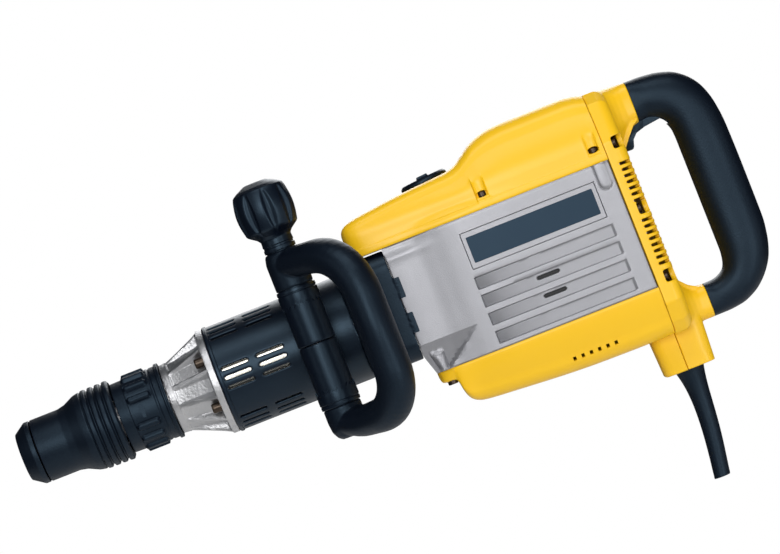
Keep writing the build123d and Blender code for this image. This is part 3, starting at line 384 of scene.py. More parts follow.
def ringLoop(centre, alongDirection, upDirection, halfWide, halfHigh, power=2.0, count=40):
    # a superellipse loop in the plane across alongDirection
    along = Vector(alongDirection).normalized()
    up = Vector(upDirection).normalized()
    side = along.cross(up)
    loop = []
    for j in range(count):
        turn = 2 * math.pi * j / count
        c, s = math.cos(turn), math.sin(turn)
        u = halfWide * math.copysign(abs(c) ** (2 / power), c)
        v = halfHigh * math.copysign(abs(s) ** (2 / power), s)
        loop.append(tuple(Vector(centre) + side * u + up * v))
    return loop


# yellow top cover
def coverLoops(spec):
    loops = []
    for x in spec["stations"]:
        half = spec["half"](x)
        top = spec["top"](x)
        wallTop = spec["rim"] + spec["sign"] * spec["wall"](x)
        slope = spec["lean"](x)
        crown = spec["round"](x)
        shoulder = top - spec["sign"] * crown
        path = [(z, 0.0) for z in spec["wallLines"]]
        for k in range(1, 11):
            t = k / 10
            path.append((wallTop + (shoulder - wallTop) * t, slope * t * t * (1.5 - 0.5 * t)))
        for k in range(1, 9):
            a = math.pi / 2 * k / 8
            path.append((shoulder + (top - shoulder) * math.sin(a), slope + crown * 1.25 * (1 - math.cos(a))))
        inner = slope + crown * 1.25
        side = []
        for z, inset in path:
            side.append((half - spec["press"](x, z, min(inset, half - 0.5)), z))
        reach = max(0.5, half - inner)
        for k in range(1, 7):
            side.append((reach * (1 - k / 6), top + spec["sign"] * 0.6 * (k / 6) ** 0.5 * min(1.0, reach / 20)))
        loop = [(x, -y, z) for y, z in side] + [(x, y, z) for y, z in reversed(side[:-1])]
        loops.append(loop)
    return loops


def stationsBetween(low, high, spacing, fine):
    # evenly spaced stations with extra fine ones
    count = int((high - low) / spacing)
    places = {round(low + (high - low) * k / count, 3) for k in range(count + 1)}
    places |= {round(f, 3) for f in fine if low < f < high}
    ordered = sorted(places)
    kept = [ordered[0]]
    for place in ordered[1:]:
        if place - kept[-1] > 0.12:
            kept.append(place)
    return kept


print("yellow covers")
topCover = {"front": 300.5, "rear": 518.3, "rim": 50.2, "bossPlaces": (416, 510), "bossHalf": 4.5,
            "pocketLevel": 61.4, "pocketHalf": (4.7, 2.5)}
flank = [(336, 46.0), (350, 47.0), (364, 49.4), (378, 52.0), (390, 53.5), (402, 54), (518.3, 54)]
topHeight = curveThrough([(300.5, 70), (301.2, 72.6), (303, 75.2), (306.5, 77.6), (312, 79.4), (330, 82.0), (356, 84.8),
                          (380, 86.6), (396, 87.8), (404, 90.2), (412, 95.2), (421, 101.4), (430, 105.4), (440, 107.6),
                          (452, 108.3), (500, 108.3), (509, 107.4), (518.3, 105.0)])
topHalf = curveThrough([(300.5, 28), (301.5, 33.5), (304, 38), (308, 41), (314, 43), (328, 45.0)] + flank)
smoothHalf = curveThrough([(300.5, 28), (301.5, 33.5), (304, 38), (308, 41), (314, 43), (340, 45.6), (368, 47.6),
                           (385, 49.6), (405, 51.8), (430, 53.6), (452, 54), (518.3, 54)])
topLean = curveThrough([(300.5, 0.5), (330, 2.0), (380, 4.0), (400, 5.0), (430, 9.5), (518.3, 9.5)])
topRound = curveThrough([(300.5, 3), (312, 7), (380, 9), (410, 11), (440, 14), (518.3, 14)])


def topPress(x, z, inset):
    # screw bosses stand straight where the wall leans in, each with a driver channel down to an oval pocket
    size = topCover
    inset += (topHalf(x) - smoothHalf(x)) * step(52, 62, z)
    for place in size["bossPlaces"]:
        off = abs(x - place)
        if off > 7:
            continue
        fade = 1 - step(70.5, 76, z)
        boss = bump(place, size["bossHalf"], 1.1, x) * fade
        inset = inset * (1 - 0.75 * boss) - 0.4 * boss * step(56, 58, z)
        if off < size["bossHalf"]:
            inset += 2.3 * math.sqrt(1 - (off / size["bossHalf"]) ** 2) * step(58.5, 60, z) * fade
        reach = math.hypot((x - place) / size["pocketHalf"][0], (z - size["pocketLevel"]) / size["pocketHalf"][1])
        inset += 7.0 * (1 - step(0.88, 1.03, reach))
    rimRound = 1 - step(50.2, 51.4, z)
    lip = 1 - step(55.2, 56.4, z)
    return inset + 0.5 * rimRound + 0.55 * (1 - lip)


fineTop = [place + 0.42 * k for place in topCover["bossPlaces"] for k in range(-13, 14)]
fineTop += [300.8, 301.2, 301.8, 302.6, 303.6, 305, 307, 309.5]
topSpec = {"stations": stationsBetween(topCover["front"], topCover["rear"], 2.6, fineTop), "half": topHalf,
           "top": topHeight, "rim": topCover["rim"], "sign": 1, "wall": lambda x: 15.0, "lean": topLean,
           "round": topRound, "press": topPress,
           "wallLines": [50.2, 50.6, 51.0, 51.6, 52.6, 54.4, 55.2, 55.5, 55.8, 56.1, 56.4, 57.2, 58]
           + [58.5 + 0.3 * k for k in range(20)] + [64.8]}


def coverShell(name, loops, material, thickness):
    # an open skin with its front end closed, given a wall inwards
    nose = [(x, 0.0, z) for x, y, z in loops[0]]
    skin = loft(name, [nose] + loops, material, closedLoop=False, caps=False, angle=34)
    wallMaker = skin.modifiers.new("wall", "SOLIDIFY")
    wallMaker.thickness = thickness * mm
    wallMaker.offset = -1
    applyAll(skin)
    smoothShade(skin.data, 34)
    return skin


yellow = finishes["yellow_shell"]
topShell = coverShell("topCoverShell", coverLoops(topSpec), yellow, 2.6)
takeOver(topShell, "top_cover")

bottomCover = {"front": 332.0, "rear": 518.3, "rim": -57.8, "vents": [437 + 7 * k for k in range(6)], "ventLevel": -86.5}
bottomDepth = curveThrough([(332, -62), (332.6, -65), (334, -66.6), (337, -67.2), (344, -67.6), (345.4, -70),
                            (346.4, -76), (347.6, -81), (350, -85.6), (354, -88.8), (360, -90.8), (380, -92.6),
                            (455, -97.0), (494, -97.4), (518.3, -97.0)])
bottomHalf = curveThrough([(332, 30), (333, 36), (336, 41), (339, 42.6)] + [(x, half - 0.1) for x, half in flank[1:]])
bottomLean = curveThrough([(332, 0.5), (346, 1.5), (360, 5), (400, 7), (518.3, 7)])
bottomRound = curveThrough([(332, 2), (344, 3), (350, 8), (362, 11), (518.3, 13)])


def bottomPress(x, z, inset):
    return inset + 0.5 * (1 - step(57.8, 59.0, -z))


fineBottom = [332.3, 332.8, 333.6, 335, 343, 344.5, 345.2, 345.8, 346.4, 347, 348, 349, 350.5, 352, 354, 357]
bottomSpec = {"stations": stationsBetween(bottomCover["front"], bottomCover["rear"], 2.6, fineBottom),
              "half": bottomHalf, "top": bottomDepth, "rim": bottomCover["rim"], "sign": -1, "wall": lambda x: -0,
              "lean": bottomLean, "round": bottomRound, "press": bottomPress, "wallLines": [-57.8, -58.2, -58.6, -59.2]}


bottomSkin = coverShell("bottomCoverSkin", coverLoops(bottomSpec), yellow, 2.6)


def roundedBox(low, high, radius, top, bottom, lean=1.5):
    # plan outline of a moulded box, lofted between two heights with a rounded lower rim
    (x0, y0), (x1, y1) = low, high
    loops = []
    for z, grow in ((top, lean), (bottom + 1.6, 0), (bottom + 0.5, -0.35), (bottom, -1.4)):
        corners = [(x0 - grow, y0 - grow, radius), (x1, y0 - grow, 0.6), (x1, y1 + grow, 0.6),
                   (x0 - grow, y1 + grow, radius)]
        loops.append([(x, y, z) for x, y in filletOutline(corners, 6)])
    return loops


def cutWith(target, cutter):
    # takes one closed shape out of another
    cut = target.modifiers.new("cut", "BOOLEAN")
    cut.operation = "DIFFERENCE"
    cut.object = cutter
    cut.solver = "EXACT"
    applyAll(target)
    bpy.data.objects.remove(cutter)


cordBoss = {"level": -93.0, "foot": -128.5, "half": 20.0, "corner": 8.0, "front": 500.1, "split": 518.3}
bossPlan = ((cordBoss["front"], -cordBoss["half"]), (cordBoss["split"], cordBoss["half"]))
bossFront = loft("cordBossFront", roundedBox(*bossPlan, cordBoss["corner"], cordBoss["level"], cordBoss["foot"]), yellow)
bottomShell = joined("bottomCoverShell", [bottomSkin, bossFront], yellow)
smoothShade(bottomShell.data, 34)
takeOver(bottomShell, "bottom_cover")


# silver motor housing
body = {"front": 326.6, "rear": 518.0, "low": -57.6, "high": 50.0, "wall": 3.3, "frontRound": 1.2, "rearRound": 1.6,
        "plate": (387.7, 501.3, 8.1, 38.3), "plateSink": 1.4, "louvreEnds": (386.0, 504.0),
        "louvreLevels": (-3.0, -17.8, -32.9, -48.3), "louvreHalf": 5.25, "deepEnd": 4.4, "shallowEnd": 1.1,
        "slotLevels": (-16.6, -31.7), "slotEnds": (432.0, 451.0), "slotHalf": 1.5, "slotDepth": 4.2,
        "bossSpot": (510.0, 29.0, 5.0), "bossRise": 0.95, "ridges": (42.5, -32.5), "ridgeSink": 1.5, "ridgeRise": 0.5,
        "facetDepth": 5.4, "footBoss": (337.2, 5.8, -40.0), "noseSlant": (-41.0, 5.2), "portRadius": 23.5}
silver = finishes["silver_body"]


def louvreDepth(x, z):
    # each recess is deepest at its front end and rises to the rear, with sloped upper faces
    low, high = body["louvreEnds"]
    depth = 0.0
    for level in body["louvreLevels"]:
        fromCentre = z - level
        inside = step(-body["louvreHalf"] - 0.05, -body["louvreHalf"] + 0.75, fromCentre)
        inside *= 1 - step(body["louvreHalf"] - 0.75, body["louvreHalf"] + 0.05, fromCentre)
        if inside <= 0:
            continue
        along = step(low - 0.05, low + 1.4, x) * (1 - step(high - 3.4, high + 0.05, x))
        fall = body["shallowEnd"] + body["deepEnd"] * math.exp(-(x - low) / 24)
        dish = 1 - 0.16 * (fromCentre / body["louvreHalf"])
        bow = 0.5 * math.exp(-((x - 428) / 3.6) ** 2)
        depth = max(depth, inside * along * (fall * dish - bow))
    return depth


def sideDepth(x, z):
    # how far the side wall stands in from its outline, negative where it stands proud
    depth = louvreDepth(x, z)
    left, right, low, high = body["plate"]
    onPlate = step(left - 0.1, left + 0.4, x) * (1 - step(right - 0.4, right + 0.1, x))
    onPlate *= step(low - 0.1, low + 0.4, z) * (1 - step(high - 0.4, high + 0.1, z))
    depth = max(depth, body["plateSink"] * onPlate)
    spotX, spotZ, radius = body["bossSpot"]
    reach = math.hypot(x - spotX, min(0.0, z - spotZ - radius))
    if reach < radius:
        depth -= body["bossRise"] * math.sqrt(1 - (reach / radius) ** 2)
    elif reach < radius + 1.3:
        depth += 0.45 * math.sin(math.pi * (reach - radius) / 1.3)
    if x < 380:
        ridgeHigh, ridgeLow = body["ridges"]
        depth += body["ridgeSink"] * (1 - step(334, 377, x)) * step(ridgeHigh - 1.2, ridgeHigh + 2.2, z)
        crest = step(ridgeHigh - 9, ridgeHigh - 1.5, z) * (1 - step(ridgeHigh - 1.5, ridgeHigh + 1, z))
        depth -= body["ridgeRise"] * (1 - step(334, 377, x)) * crest
        valley = 377 + (z - ridgeLow) * 1.35
        facet = (1 - step(valley - 5, valley, x)) * max(0.0, (ridgeLow - z) / (ridgeLow - body["low"])) ** 0.8
        footX, footHalf, footTop = body["footBoss"]
        across = abs(x - footX) / footHalf
        roundness = math.sqrt(1 - across ** 2) * (1 - step(footTop - 5, footTop, z)) if across < 1 else 0.0
        depth += body["facetDepth"] * facet * (1 - roundness)
    depth += 0.8 * (1 - step(body["low"], body["low"] + 1.1, z)) + 0.5 * step(body["high"] - 0.9, body["high"], z)
    return depth


halfAt = curveThrough([(body["front"], 46)] + flank)


def bodyPlan():
    # plan outline points (x, y, outward normal) round the housing, finer where the side has detail
    fine = []
    for place in (*body["louvreEnds"], *body["plate"][:2]):
        fine += [place + d for d in (-0.4, -0.1, 0.15, 0.4, 0.7, 1.0)]
    fine += [503.2 - 0.5 * k for k in range(7)] + [505 + 0.55 * k for k in range(19)]
    fine += [330.6 + 0.7 * k for k in range(20)] + [345 + 1.6 * k for k in range(22)]
    fine += [431 + 0.5 * k for k in range(7)] + [448.5 + 0.5 * k for k in range(8)]
    places = stationsBetween(body["front"] + body["frontRound"], body["rear"] - body["rearRound"], 2.8, fine)
    path = []
    for x in places:
        path.append((x, -halfAt(x)))
    tail = body["rearRound"]
    corner = [(body["rear"] - tail + tail * math.sin(a), -54 + tail * (1 - math.cos(a)))
              for a in [math.pi / 2 * k / 6 for k in range(1, 7)]]
    path += corner
    path += [(body["rear"], -48 + 12 * k) for k in range(1, 9)]
    far = [(x, -y) for x, y in reversed(path[:len(places) + 6])]
    path += far
    nose = body["frontRound"]
    front = [(body["front"] + nose - nose * math.sin(a), 46 - nose + nose * math.cos(a))
             for a in [math.pi / 2 * k / 5 for k in range(1, 6)]]
    path += front
    path += [(body["front"], 42 - 12 * k) for k in range(8)]
    path += [(x, -y) for x, y in reversed(front)][1:]
    return path


def bodyLevels():
    levels = [body["low"], -57.3, -57.0, -56.5, body["high"], 49.7, 49.4, 49.1, 8.0, 8.2, 8.5, 37.9, 38.2, 38.4]
    for level in body["louvreLevels"]:
        for sign in (-1, 1):
            levels += [level + sign * (body["louvreHalf"] + d) for d in (-0.8, -0.6, -0.4, -0.2, 0.0, 0.1)]
    for level in body["slotLevels"]:
        levels += [level + 0.3 * k for k in range(-7, 8)]
    levels += [body["low"] + 2.5 * k for k in range(43)] + [23.5 + 0.8 * k for k in range(12)]
    levels += [-34.5 + 0.5 * k for k in range(9)]
    levels = sorted(levels)
    kept = [levels[0]]
    for level in levels[1:]:
        if level - kept[-1] > 0.14 and level <= body["high"]:
            kept.append(level)
    return kept


def slotReach(x, z):
    # distance outside the nearest cooling slot, negative inside it
    best = 99.0
    for level in body["slotLevels"]:
        a, b = body["slotEnds"][0] + body["slotHalf"], body["slotEnds"][1] - body["slotHalf"]
        best = min(best, math.hypot(max(a - x, 0, x - b), z - level) - body["slotHalf"])
    return best


def buildBody():
    plan = bodyPlan()
    count = len(plan)
    normals = []
    for i in range(count):
        before, after = plan[i - 1], plan[(i + 1) % count]
        along = Vector((after[0] - before[0], after[1] - before[1])).normalized()
        normals.append((along.y, -along.x))
    loops = []
    for z in bodyLevels():
        loop = []
        for (x, y), (nx, ny) in zip(plan, normals):
            depth = 0.0
            if abs(ny) > 0.5 or x < 380:
                depth = sideDepth(x, z) * (1.0 if x < 345 and abs(y) > 36 else min(1.0, abs(ny) * 1.6))
                away = slotReach(x, z) if abs(ny) > 0.9 else 9.0
                depth += body["slotDepth"] * (1 - step(-0.25, 0.12, away))
            start, most = body["noseSlant"]
            slant = most * max(0.0, (start - z) / (start - body["low"]))
            slant *= 1 - step(body["front"], body["front"] + 16, x)
            limit = halfAt(x) - depth if x < 345 and abs(y) > 36 else 99.0
            y = y - ny * depth
            loop.append((x - nx * depth * (x > 400) + slant, math.copysign(min(abs(y), limit), y), z))
        loops.append(loop)
    skin = loft("bodySkin", loops, silver, caps=False, angle=30)
    wallMaker = skin.modifiers.new("wall", "SOLIDIFY")
    wallMaker.thickness = body["wall"] * mm
    wallMaker.offset = -1
    applyAll(skin)
    smoothShade(skin.data, 30)
    return skin


print("silver housing")
bodyShell = buildBody()
portHole = lathe("portHole", [(body["front"] - 6, 0.001, 0), (body["front"] - 6, body["portRadius"], 0),
                              (body["front"] + 9, body["portRadius"], 0), (body["front"] + 9, 0.001, 0)], silver, 64)
cutWith(bodyShell, portHole)
smoothShade(bodyShell.data, 30)
takeOver(bodyShell, "motor_housing")
# painted shade: near-black plates on the floor of each cooling slot stand in for the shade inside the open vents
slotShadePlates = []
for side in (-1, 1):
    for level in body["slotLevels"]:
        corners = [(body["slotEnds"][0] + 0.25, level - 1.28, 1.27), (body["slotEnds"][1] - 0.25, level - 1.28, 1.27),
                   (body["slotEnds"][1] - 0.25, level + 1.28, 1.27), (body["slotEnds"][0] + 0.25, level + 1.28, 1.27)]
        outline = filletOutline(corners, 6)
        slotShadePlates.append(loft("slotInsert", [[(x, side * y, z) for x, z in outline] for y in (48.6, 50.6)], silver))
slotShell = joined("coolingSlotShadePlates", slotShadePlates, finishes["dark_moulding"])
smoothShade(slotShell.data)
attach(slotShell, "root")
print("silver housing", len(bodyShell.data.polygons), "faces")


# plain badge plates: a silver plate with one dark band standing a little proud of it
badge = {"centre": (444.5, 23.2), "half": (56.4, 14.7), "low": 52.62, "high": 53.1, "bandHalf": (53.2, 10.6),
         "bandHigh": 53.4}


def plateLoops(half, low, high, side, corner):
    loops = []
    for y, draw in ((low, 0.0), (high - 0.25, 0.0), (high, 0.25)):
        u, v = half[0] - draw, half[1] - draw
        corners = [(badge["centre"][0] + a * u, badge["centre"][1] + b * v, corner)
                   for a, b in ((-1, -1), (1, -1), (1, 1), (-1, 1))]
        loops.append([(x, side * y, z) for x, z in filletOutline(corners, 4)])
    return loops


plates = [loft("badgeBase", plateLoops(badge["half"], badge["low"], badge["high"], side, 1.4), silver) for side in (-1, 1)]
bands = [loft("badgeBand", plateLoops(badge["bandHalf"], badge["high"] - 0.1, badge["bandHigh"], side, 1.0),
              finishes["badge_plate"]) for side in (-1, 1)]
plateShell = joined("badgePlates", plates, silver)
bandShell = joined("badgeBands", bands, finishes["badge_plate"])
for thing in (plateShell, bandShell):
    smoothShade(thing.data)
takeOver(bandShell, "name_badges")
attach(plateShell, "root")

# geometry node helpers
def nodeTree(name, inputs):
    # a geometry tree with named inputs; returns it with its input and output nodes
    tree = bpy.data.node_groups.new(name, "GeometryNodeTree")
    tree.interface.new_socket("Geometry", in_out="OUTPUT", socket_type="NodeSocketGeometry")
    tree.interface.new_socket("Geometry", in_out="INPUT", socket_type="NodeSocketGeometry")
    for socketName, kind, value in inputs:
        socket = tree.interface.new_socket(socketName, in_out="INPUT", socket_type=kind)
        if value is not None:
            socket.default_value = value
    return tree, tree.nodes.new("NodeGroupInput"), tree.nodes.new("NodeGroupOutput")


def runTree(name, tree, values, points=None, facing=None):
    # evaluates a tree on a cloud of points, with a facing vector for each, into a plain mesh
    mesh = bpy.data.meshes.new(name)
    mesh.from_pydata([Vector(p) * mm for p in (points or [])], [], [])
    if facing:
        slot = mesh.attributes.new("facing", "FLOAT_VECTOR", "POINT")
        slot.data.foreach_set("vector", [v for f in facing for v in f])
    thing = bpy.data.objects.new(name, mesh)
    bpy.context.scene.collection.objects.link(thing)
    modifier = thing.modifiers.new("nodes", "NODES")
    modifier.node_group = tree
    sockets = {item.name: item.identifier for item in tree.interface.items_tree
               if item.item_type == "SOCKET" and item.in_out == "INPUT"}
    for key, value in values.items():
        modifier[sockets[key]] = value
    applyAll(thing)
    smoothShade(thing.data, 35)
    return thing


def faceOutward(tree):
    # rotation that turns local Z to the stored facing vector
    named = tree.nodes.new("GeometryNodeInputNamedAttribute")
    named.data_type = "FLOAT_VECTOR"
    named.inputs["Name"].default_value = "facing"
    align = tree.nodes.new("FunctionNodeAlignRotationToVector")
    align.axis = "Z"
    tree.links.new(named.outputs["Attribute"], align.inputs["Vector"])
    return align.outputs["Rotation"]


def raised(tree, geometry, height):
    # the geometry moved up its own Z by a socket's value
    lift = tree.nodes.new("ShaderNodeCombineXYZ")
    tree.links.new(height, lift.inputs["Z"])
    place = tree.nodes.new("GeometryNodeTransform")
    tree.links.new(geometry, place.inputs["Geometry"])
    tree.links.new(lift.outputs[0], place.inputs["Translation"])
    return place.outputs[0]


def closeTree(tree, start, end, unit):
    # one unit at each point, turned to its facing, made real and given its material
    spread = tree.nodes.new("GeometryNodeInstanceOnPoints")
    tree.links.new(start.outputs["Geometry"], spread.inputs["Points"])
    tree.links.new(unit, spread.inputs["Instance"])
    tree.links.new(faceOutward(tree), spread.inputs["Rotation"])
    real = tree.nodes.new("GeometryNodeRealizeInstances")
    tree.links.new(spread.outputs[0], real.inputs[0])
    dress = tree.nodes.new("GeometryNodeSetMaterial")
    tree.links.new(real.outputs[0], dress.inputs["Geometry"])
    tree.links.new(start.outputs["Finish"], dress.inputs["Material"])
    tree.links.new(dress.outputs[0], end.inputs[0])


def makeScrewTree():
    # a socket-head screw: chamfered head with a hexagon recess, and its shank, at each point
    tree, start, end = nodeTree("socketScrews", [
        ("Head Radius", "NodeSocketFloat", 0.0041), ("Head Height", "NodeSocketFloat", 0.0032),
        ("Hex Radius", "NodeSocketFloat", 0.0022), ("Shank Radius", "NodeSocketFloat", 0.0022),
        ("Shank Length", "NodeSocketFloat", 0.02), ("Finish", "NodeSocketMaterial", None)])
    new, links, given = tree.nodes.new, tree.links, start.outputs

    def scaled(key, factor):
        return mathNode(tree, "MULTIPLY", given[key], factor).outputs[0]

    shorter = scaled("Head Height", 0.84)
    head = new("GeometryNodeMeshCylinder")
    setInputs(head, {"Vertices": 40, "Side Segments": 1})
    links.new(given["Head Radius"], head.inputs["Radius"])
    links.new(shorter, head.inputs["Depth"])
    crown = new("GeometryNodeMeshCone")
    crown.inputs["Vertices"].default_value = 40
    links.new(given["Head Radius"], crown.inputs["Radius Bottom"])
    links.new(scaled("Head Radius", 0.86), crown.inputs["Radius Top"])
    links.new(scaled("Head Height", 0.16), crown.inputs["Depth"])
    hexagon = new("GeometryNodeMeshCylinder")
    hexagon.inputs["Vertices"].default_value = 6
    links.new(given["Hex Radius"], hexagon.inputs["Radius"])
    links.new(given["Head Height"], hexagon.inputs["Depth"])
    whole = new("GeometryNodeMeshBoolean")
    whole.operation = "UNION"
    links.new(raised(tree, head.outputs["Mesh"], scaled("Head Height", 0.42)), whole.inputs["Mesh 2"])
    links.new(raised(tree, crown.outputs["Mesh"], shorter), whole.inputs["Mesh 2"])
    socketed = new("GeometryNodeMeshBoolean")
    socketed.operation = "DIFFERENCE"
    links.new(whole.outputs["Mesh"], socketed.inputs["Mesh 1"])
    links.new(raised(tree, hexagon.outputs["Mesh"], given["Head Height"]), socketed.inputs["Mesh 2"])
    shank = new("GeometryNodeMeshCylinder")
    shank.inputs["Vertices"].default_value = 24
    links.new(given["Shank Radius"], shank.inputs["Radius"])
    links.new(given["Shank Length"], shank.inputs["Depth"])
    screw = new("GeometryNodeJoinGeometry")
    links.new(socketed.outputs["Mesh"], screw.inputs[0])
    links.new(raised(tree, shank.outputs["Mesh"], scaled("Shank Length", -0.5)), screw.inputs[0])
    closeTree(tree, start, end, screw.outputs[0])
    return tree


screwTree = makeScrewTree()
print("screws")
coverScrews = {"x": (416, 510), "y": 47.5, "seat": 60.0}
footScrews = {"spots": ((341, 37), (500, 44)), "seat": -67.0}
capScrews = {"y": 46, "levels": (61, 5.6, -51.6), "seat": 526.0}
spots, ways = [], []
for side in (-1, 1):
    for x in coverScrews["x"]:
        spots.append((x, side * coverScrews["y"], coverScrews["seat"]))
        ways.append((0, 0, 1))
    for x, y in footScrews["spots"]:
        spots.append((x, side * y, footScrews["seat"]))
        ways.append((0, 0, -1))
    for level in capScrews["levels"]:
        spots.append((capScrews["seat"], side * capScrews["y"], level))
        ways.append((1, 0, 0))
housingScrews = runTree("housingScrewSet", screwTree, {"Shank Length": 0.011, "Finish": finishes["screw_steel"]},
                        spots, ways)
takeOver(housingScrews, "housing_screws")
coneTurns = [math.radians(a) for a in (60, 120, 240, 300)]
coneScrews = runTree("coneScrewSet", screwTree,
                     {"Head Height": 0.0074, "Hex Radius": 0.0024, "Shank Radius": 0.0025, "Shank Length": 0.021,
                      "Finish": finishes["screw_steel"]},
                     [(163.4, 38 * math.sin(a), 38 * math.cos(a)) for a in coneTurns], [(-1, 0, 0)] * 4)
takeOver(coneScrews, "front_housing_screws")


def makeCutterTree():
    # small square-ended cutters, one at each point
    tree, start, end = nodeTree("ventCutters", [
        ("Width", "NodeSocketFloat", 0.0026), ("Length", "NodeSocketFloat", 0.0034), ("Reach", "NodeSocketFloat", 0.03),
        ("Finish", "NodeSocketMaterial", None)])
    new, links = tree.nodes.new, tree.links
    size = new("ShaderNodeCombineXYZ")
    for key, axis in (("Width", "X"), ("Length", "Y"), ("Reach", "Z")):
        links.new(start.outputs[key], size.inputs[axis])
    block = new("GeometryNodeMeshCube")
    links.new(size.outputs[0], block.inputs["Size"])
    closeTree(tree, start, end, block.outputs["Mesh"])
    return tree


cutterTree = makeCutterTree()
ventPoints = [(x, side * 47, bottomCover["ventLevel"]) for side in (-1, 1) for x in bottomCover["vents"]]
ventFacing = [(0, side * 1.0, -0.35) for side in (-1, 1) for x in bottomCover["vents"]]
ventCutters = runTree("ventCutters", cutterTree, {"Finish": yellow}, ventPoints, ventFacing)
cutWith(bottomShell, ventCutters)
smoothShade(bottomShell.data, 34)

# nose, sleeve and collar
print("nose and collar")
rubber = finishes["soft_rubber"]
noseOutline = [(0.1, 13.05, 0.4), (0.1, 19.3, 1.2), (9.6, 25.9, 1.6), (13.6, 25.9, 0.7), (13.6, 22.1, 0.2),
               (9, 16.3, 0.2), (5.8, 13.05, 0.2)]
noseShell = lathe("noseCapShell", noseOutline, rubber, 128)
takeOver(noseShell, "nose_cap")
sleeveOutline = [(14.6, 22.6, 0.2), (14.6, 25.9, 0.7), (38.6, 25.9, 9), (45, 27.3, 8), (53.5, 31.4, 8), (59.2, 32.6, 1.4)]
for k in range(4):
    peak = 62.2 + 6.2 * k
    sleeveOutline += [(peak - 2.3, 31.0 + 0.1 * k, 0.9), (peak - 1.5, 33.0 + 0.1 * k, 1.1),
                      (peak + 1.9, 33.15 + 0.08 * k, 1.3), (peak + 2.9, 31.1 + 0.1 * k, 0.9)]
sleeveOutline += [(84, 31.4, 0.5), (84, 30.4, 0.2), (76, 30.4, 0.4), (70, 24, 0.3), (70, 16.4, 0.2), (67, 16.4, 0.2),
                  (66.6, 18.4, 0.2), (49.2, 21.3, 0.2), (20, 21.3, 0.3)]
takeOver(lathe("lockingSleeveShell", sleeveOutline, rubber, 128), "locking_sleeve")

collar = {"ovals": 16, "ovalCentre": 104.5, "ovalLong": 9.6, "ovalWide": 2.7, "rise": 2.3, "base": 30.0, "groove": 0.5,
          "arrowRise": 0.55}


def collarShape(x, radius, turn):
    # raised ovals with a fine groove round each; the two at the sides give way to arrows
    if radius < collar["base"] - 0.2 or not 92 < x < 117:
        return radius
    pitch = 2 * math.pi / collar["ovals"]
    number = round(turn / pitch) % collar["ovals"]
    if number in (collar["ovals"] // 4, 3 * collar["ovals"] // 4):
        return radius
    around = ((turn + pitch / 2) % pitch - pitch / 2) * radius
    straight = collar["ovalLong"] - collar["ovalWide"]
    away = math.hypot(max(0.0, abs(x - collar["ovalCentre"]) - straight), around) - collar["ovalWide"]
    return radius + collar["rise"] * (1 - step(-1.1, 0.25, away)) - collar["groove"] * bump(0.75, 0.15, 0.5, away)


collarOutline = [(84.9, 21.6, 0.2), (84.9, 28.9, 0.8)]
collarOutline += [(94.2, 29.1, 0.5)] + [(94.6 + 0.6 * k, 30.0, 0) for k in range(35)]
collarOutline += [(116, 30.0, 0.4), (116.8, 29.4, 0.3), (117.8, 29.4, 0.3), (118.6, 30.0, 0.4), (122.6, 30.0, 0.4),
                  (123.1, 31.5, 0.5), (124.2, 31.5, 0.2), (124.45, 31.0, 0.1), (124.7, 31.5, 0.2), (126, 31.4, 0.4),
                  (126, 22.9, 0.2),
                  (123.8, 22.9, 0.2), (123.8, 20.2, 0.2), (111.9, 20.2, 0.2), (111.9, 16.2, 0.2), (96, 16.2, 0.2),
                  (96, 21.6, 0.2)]
collarShell = lathe("indexCollarShell", collarOutline, rubber, 288, shape=collarShape, angle=50)
takeOver(collarShell, "index_collar")
arrowOutline = [(104, 6.6), (107.6, 1.6), (105.4, 1.6), (105.4, -5.2), (102.6, -5.2), (102.6, 1.6), (100.4, 1.6)]
arrows = []
for side in (-1, 1):
    rings = []
    crest = collar["base"] + collar["arrowRise"]
    for radius, shrink in ((29.7, 0.0), (crest - 0.15, 0.0), (crest, 0.2)):
        ring = []
        for x, s in filletOutline([(x, s, 0.35) for x, s in arrowOutline], 3):
            turn = s * (1 - shrink * 0.1) / collar["base"]
            ring.append((x, side * radius * math.cos(turn), radius * math.sin(turn)))
        rings.append(ring)
    arrows.append(loft("arrow", rings, rubber))
arrowShell = joined("collarArrows", arrows, rubber)
smoothShade(arrowShell.data, 35)
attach(arrowShell, bodyOf["index_collar"])

# cast front housing
cone = {"ringEnd": 132.5, "rimStart": 163.8, "ribs": 12, "sink": 7.2, "screwRing": 38, "drill": 4.7}
coneOuter = curveThrough([(132.5, 29.2), (140, 32.2), (150, 36.6), (158, 40.2), (163.8, 43.3)])


def coneShape(x, radius, turn):
    # twelve webs run out to the rim, with flat-floored pockets between them
    if radius < 25 or x <= cone["ringEnd"] or x >= cone["rimStart"]:
        return radius
    outer = coneOuter(x)
    travel = (x - cone["ringEnd"]) / (cone["rimStart"] - cone["ringEnd"])
    pitch = 2 * math.pi / cone["ribs"]
    around = abs(turn % pitch - pitch / 2)
    fromRib = pitch / 2 - around
    wide = 0.050 * (1 - 0.55 * travel)
    rib = 1 - step(wide, wide + 0.035 + 0.05 * travel, pitch / 2 - fromRib)
    flat = outer * (1 - math.cos(pitch / 2) / math.cos(min(fromRib, pitch / 2))) * 0.8
    sink = (cone["sink"] * travel ** 0.9 + flat) * (1 - step(0.955, 0.995, travel)) * step(0, 0.06, travel)
    return outer - sink * (1 - rib)


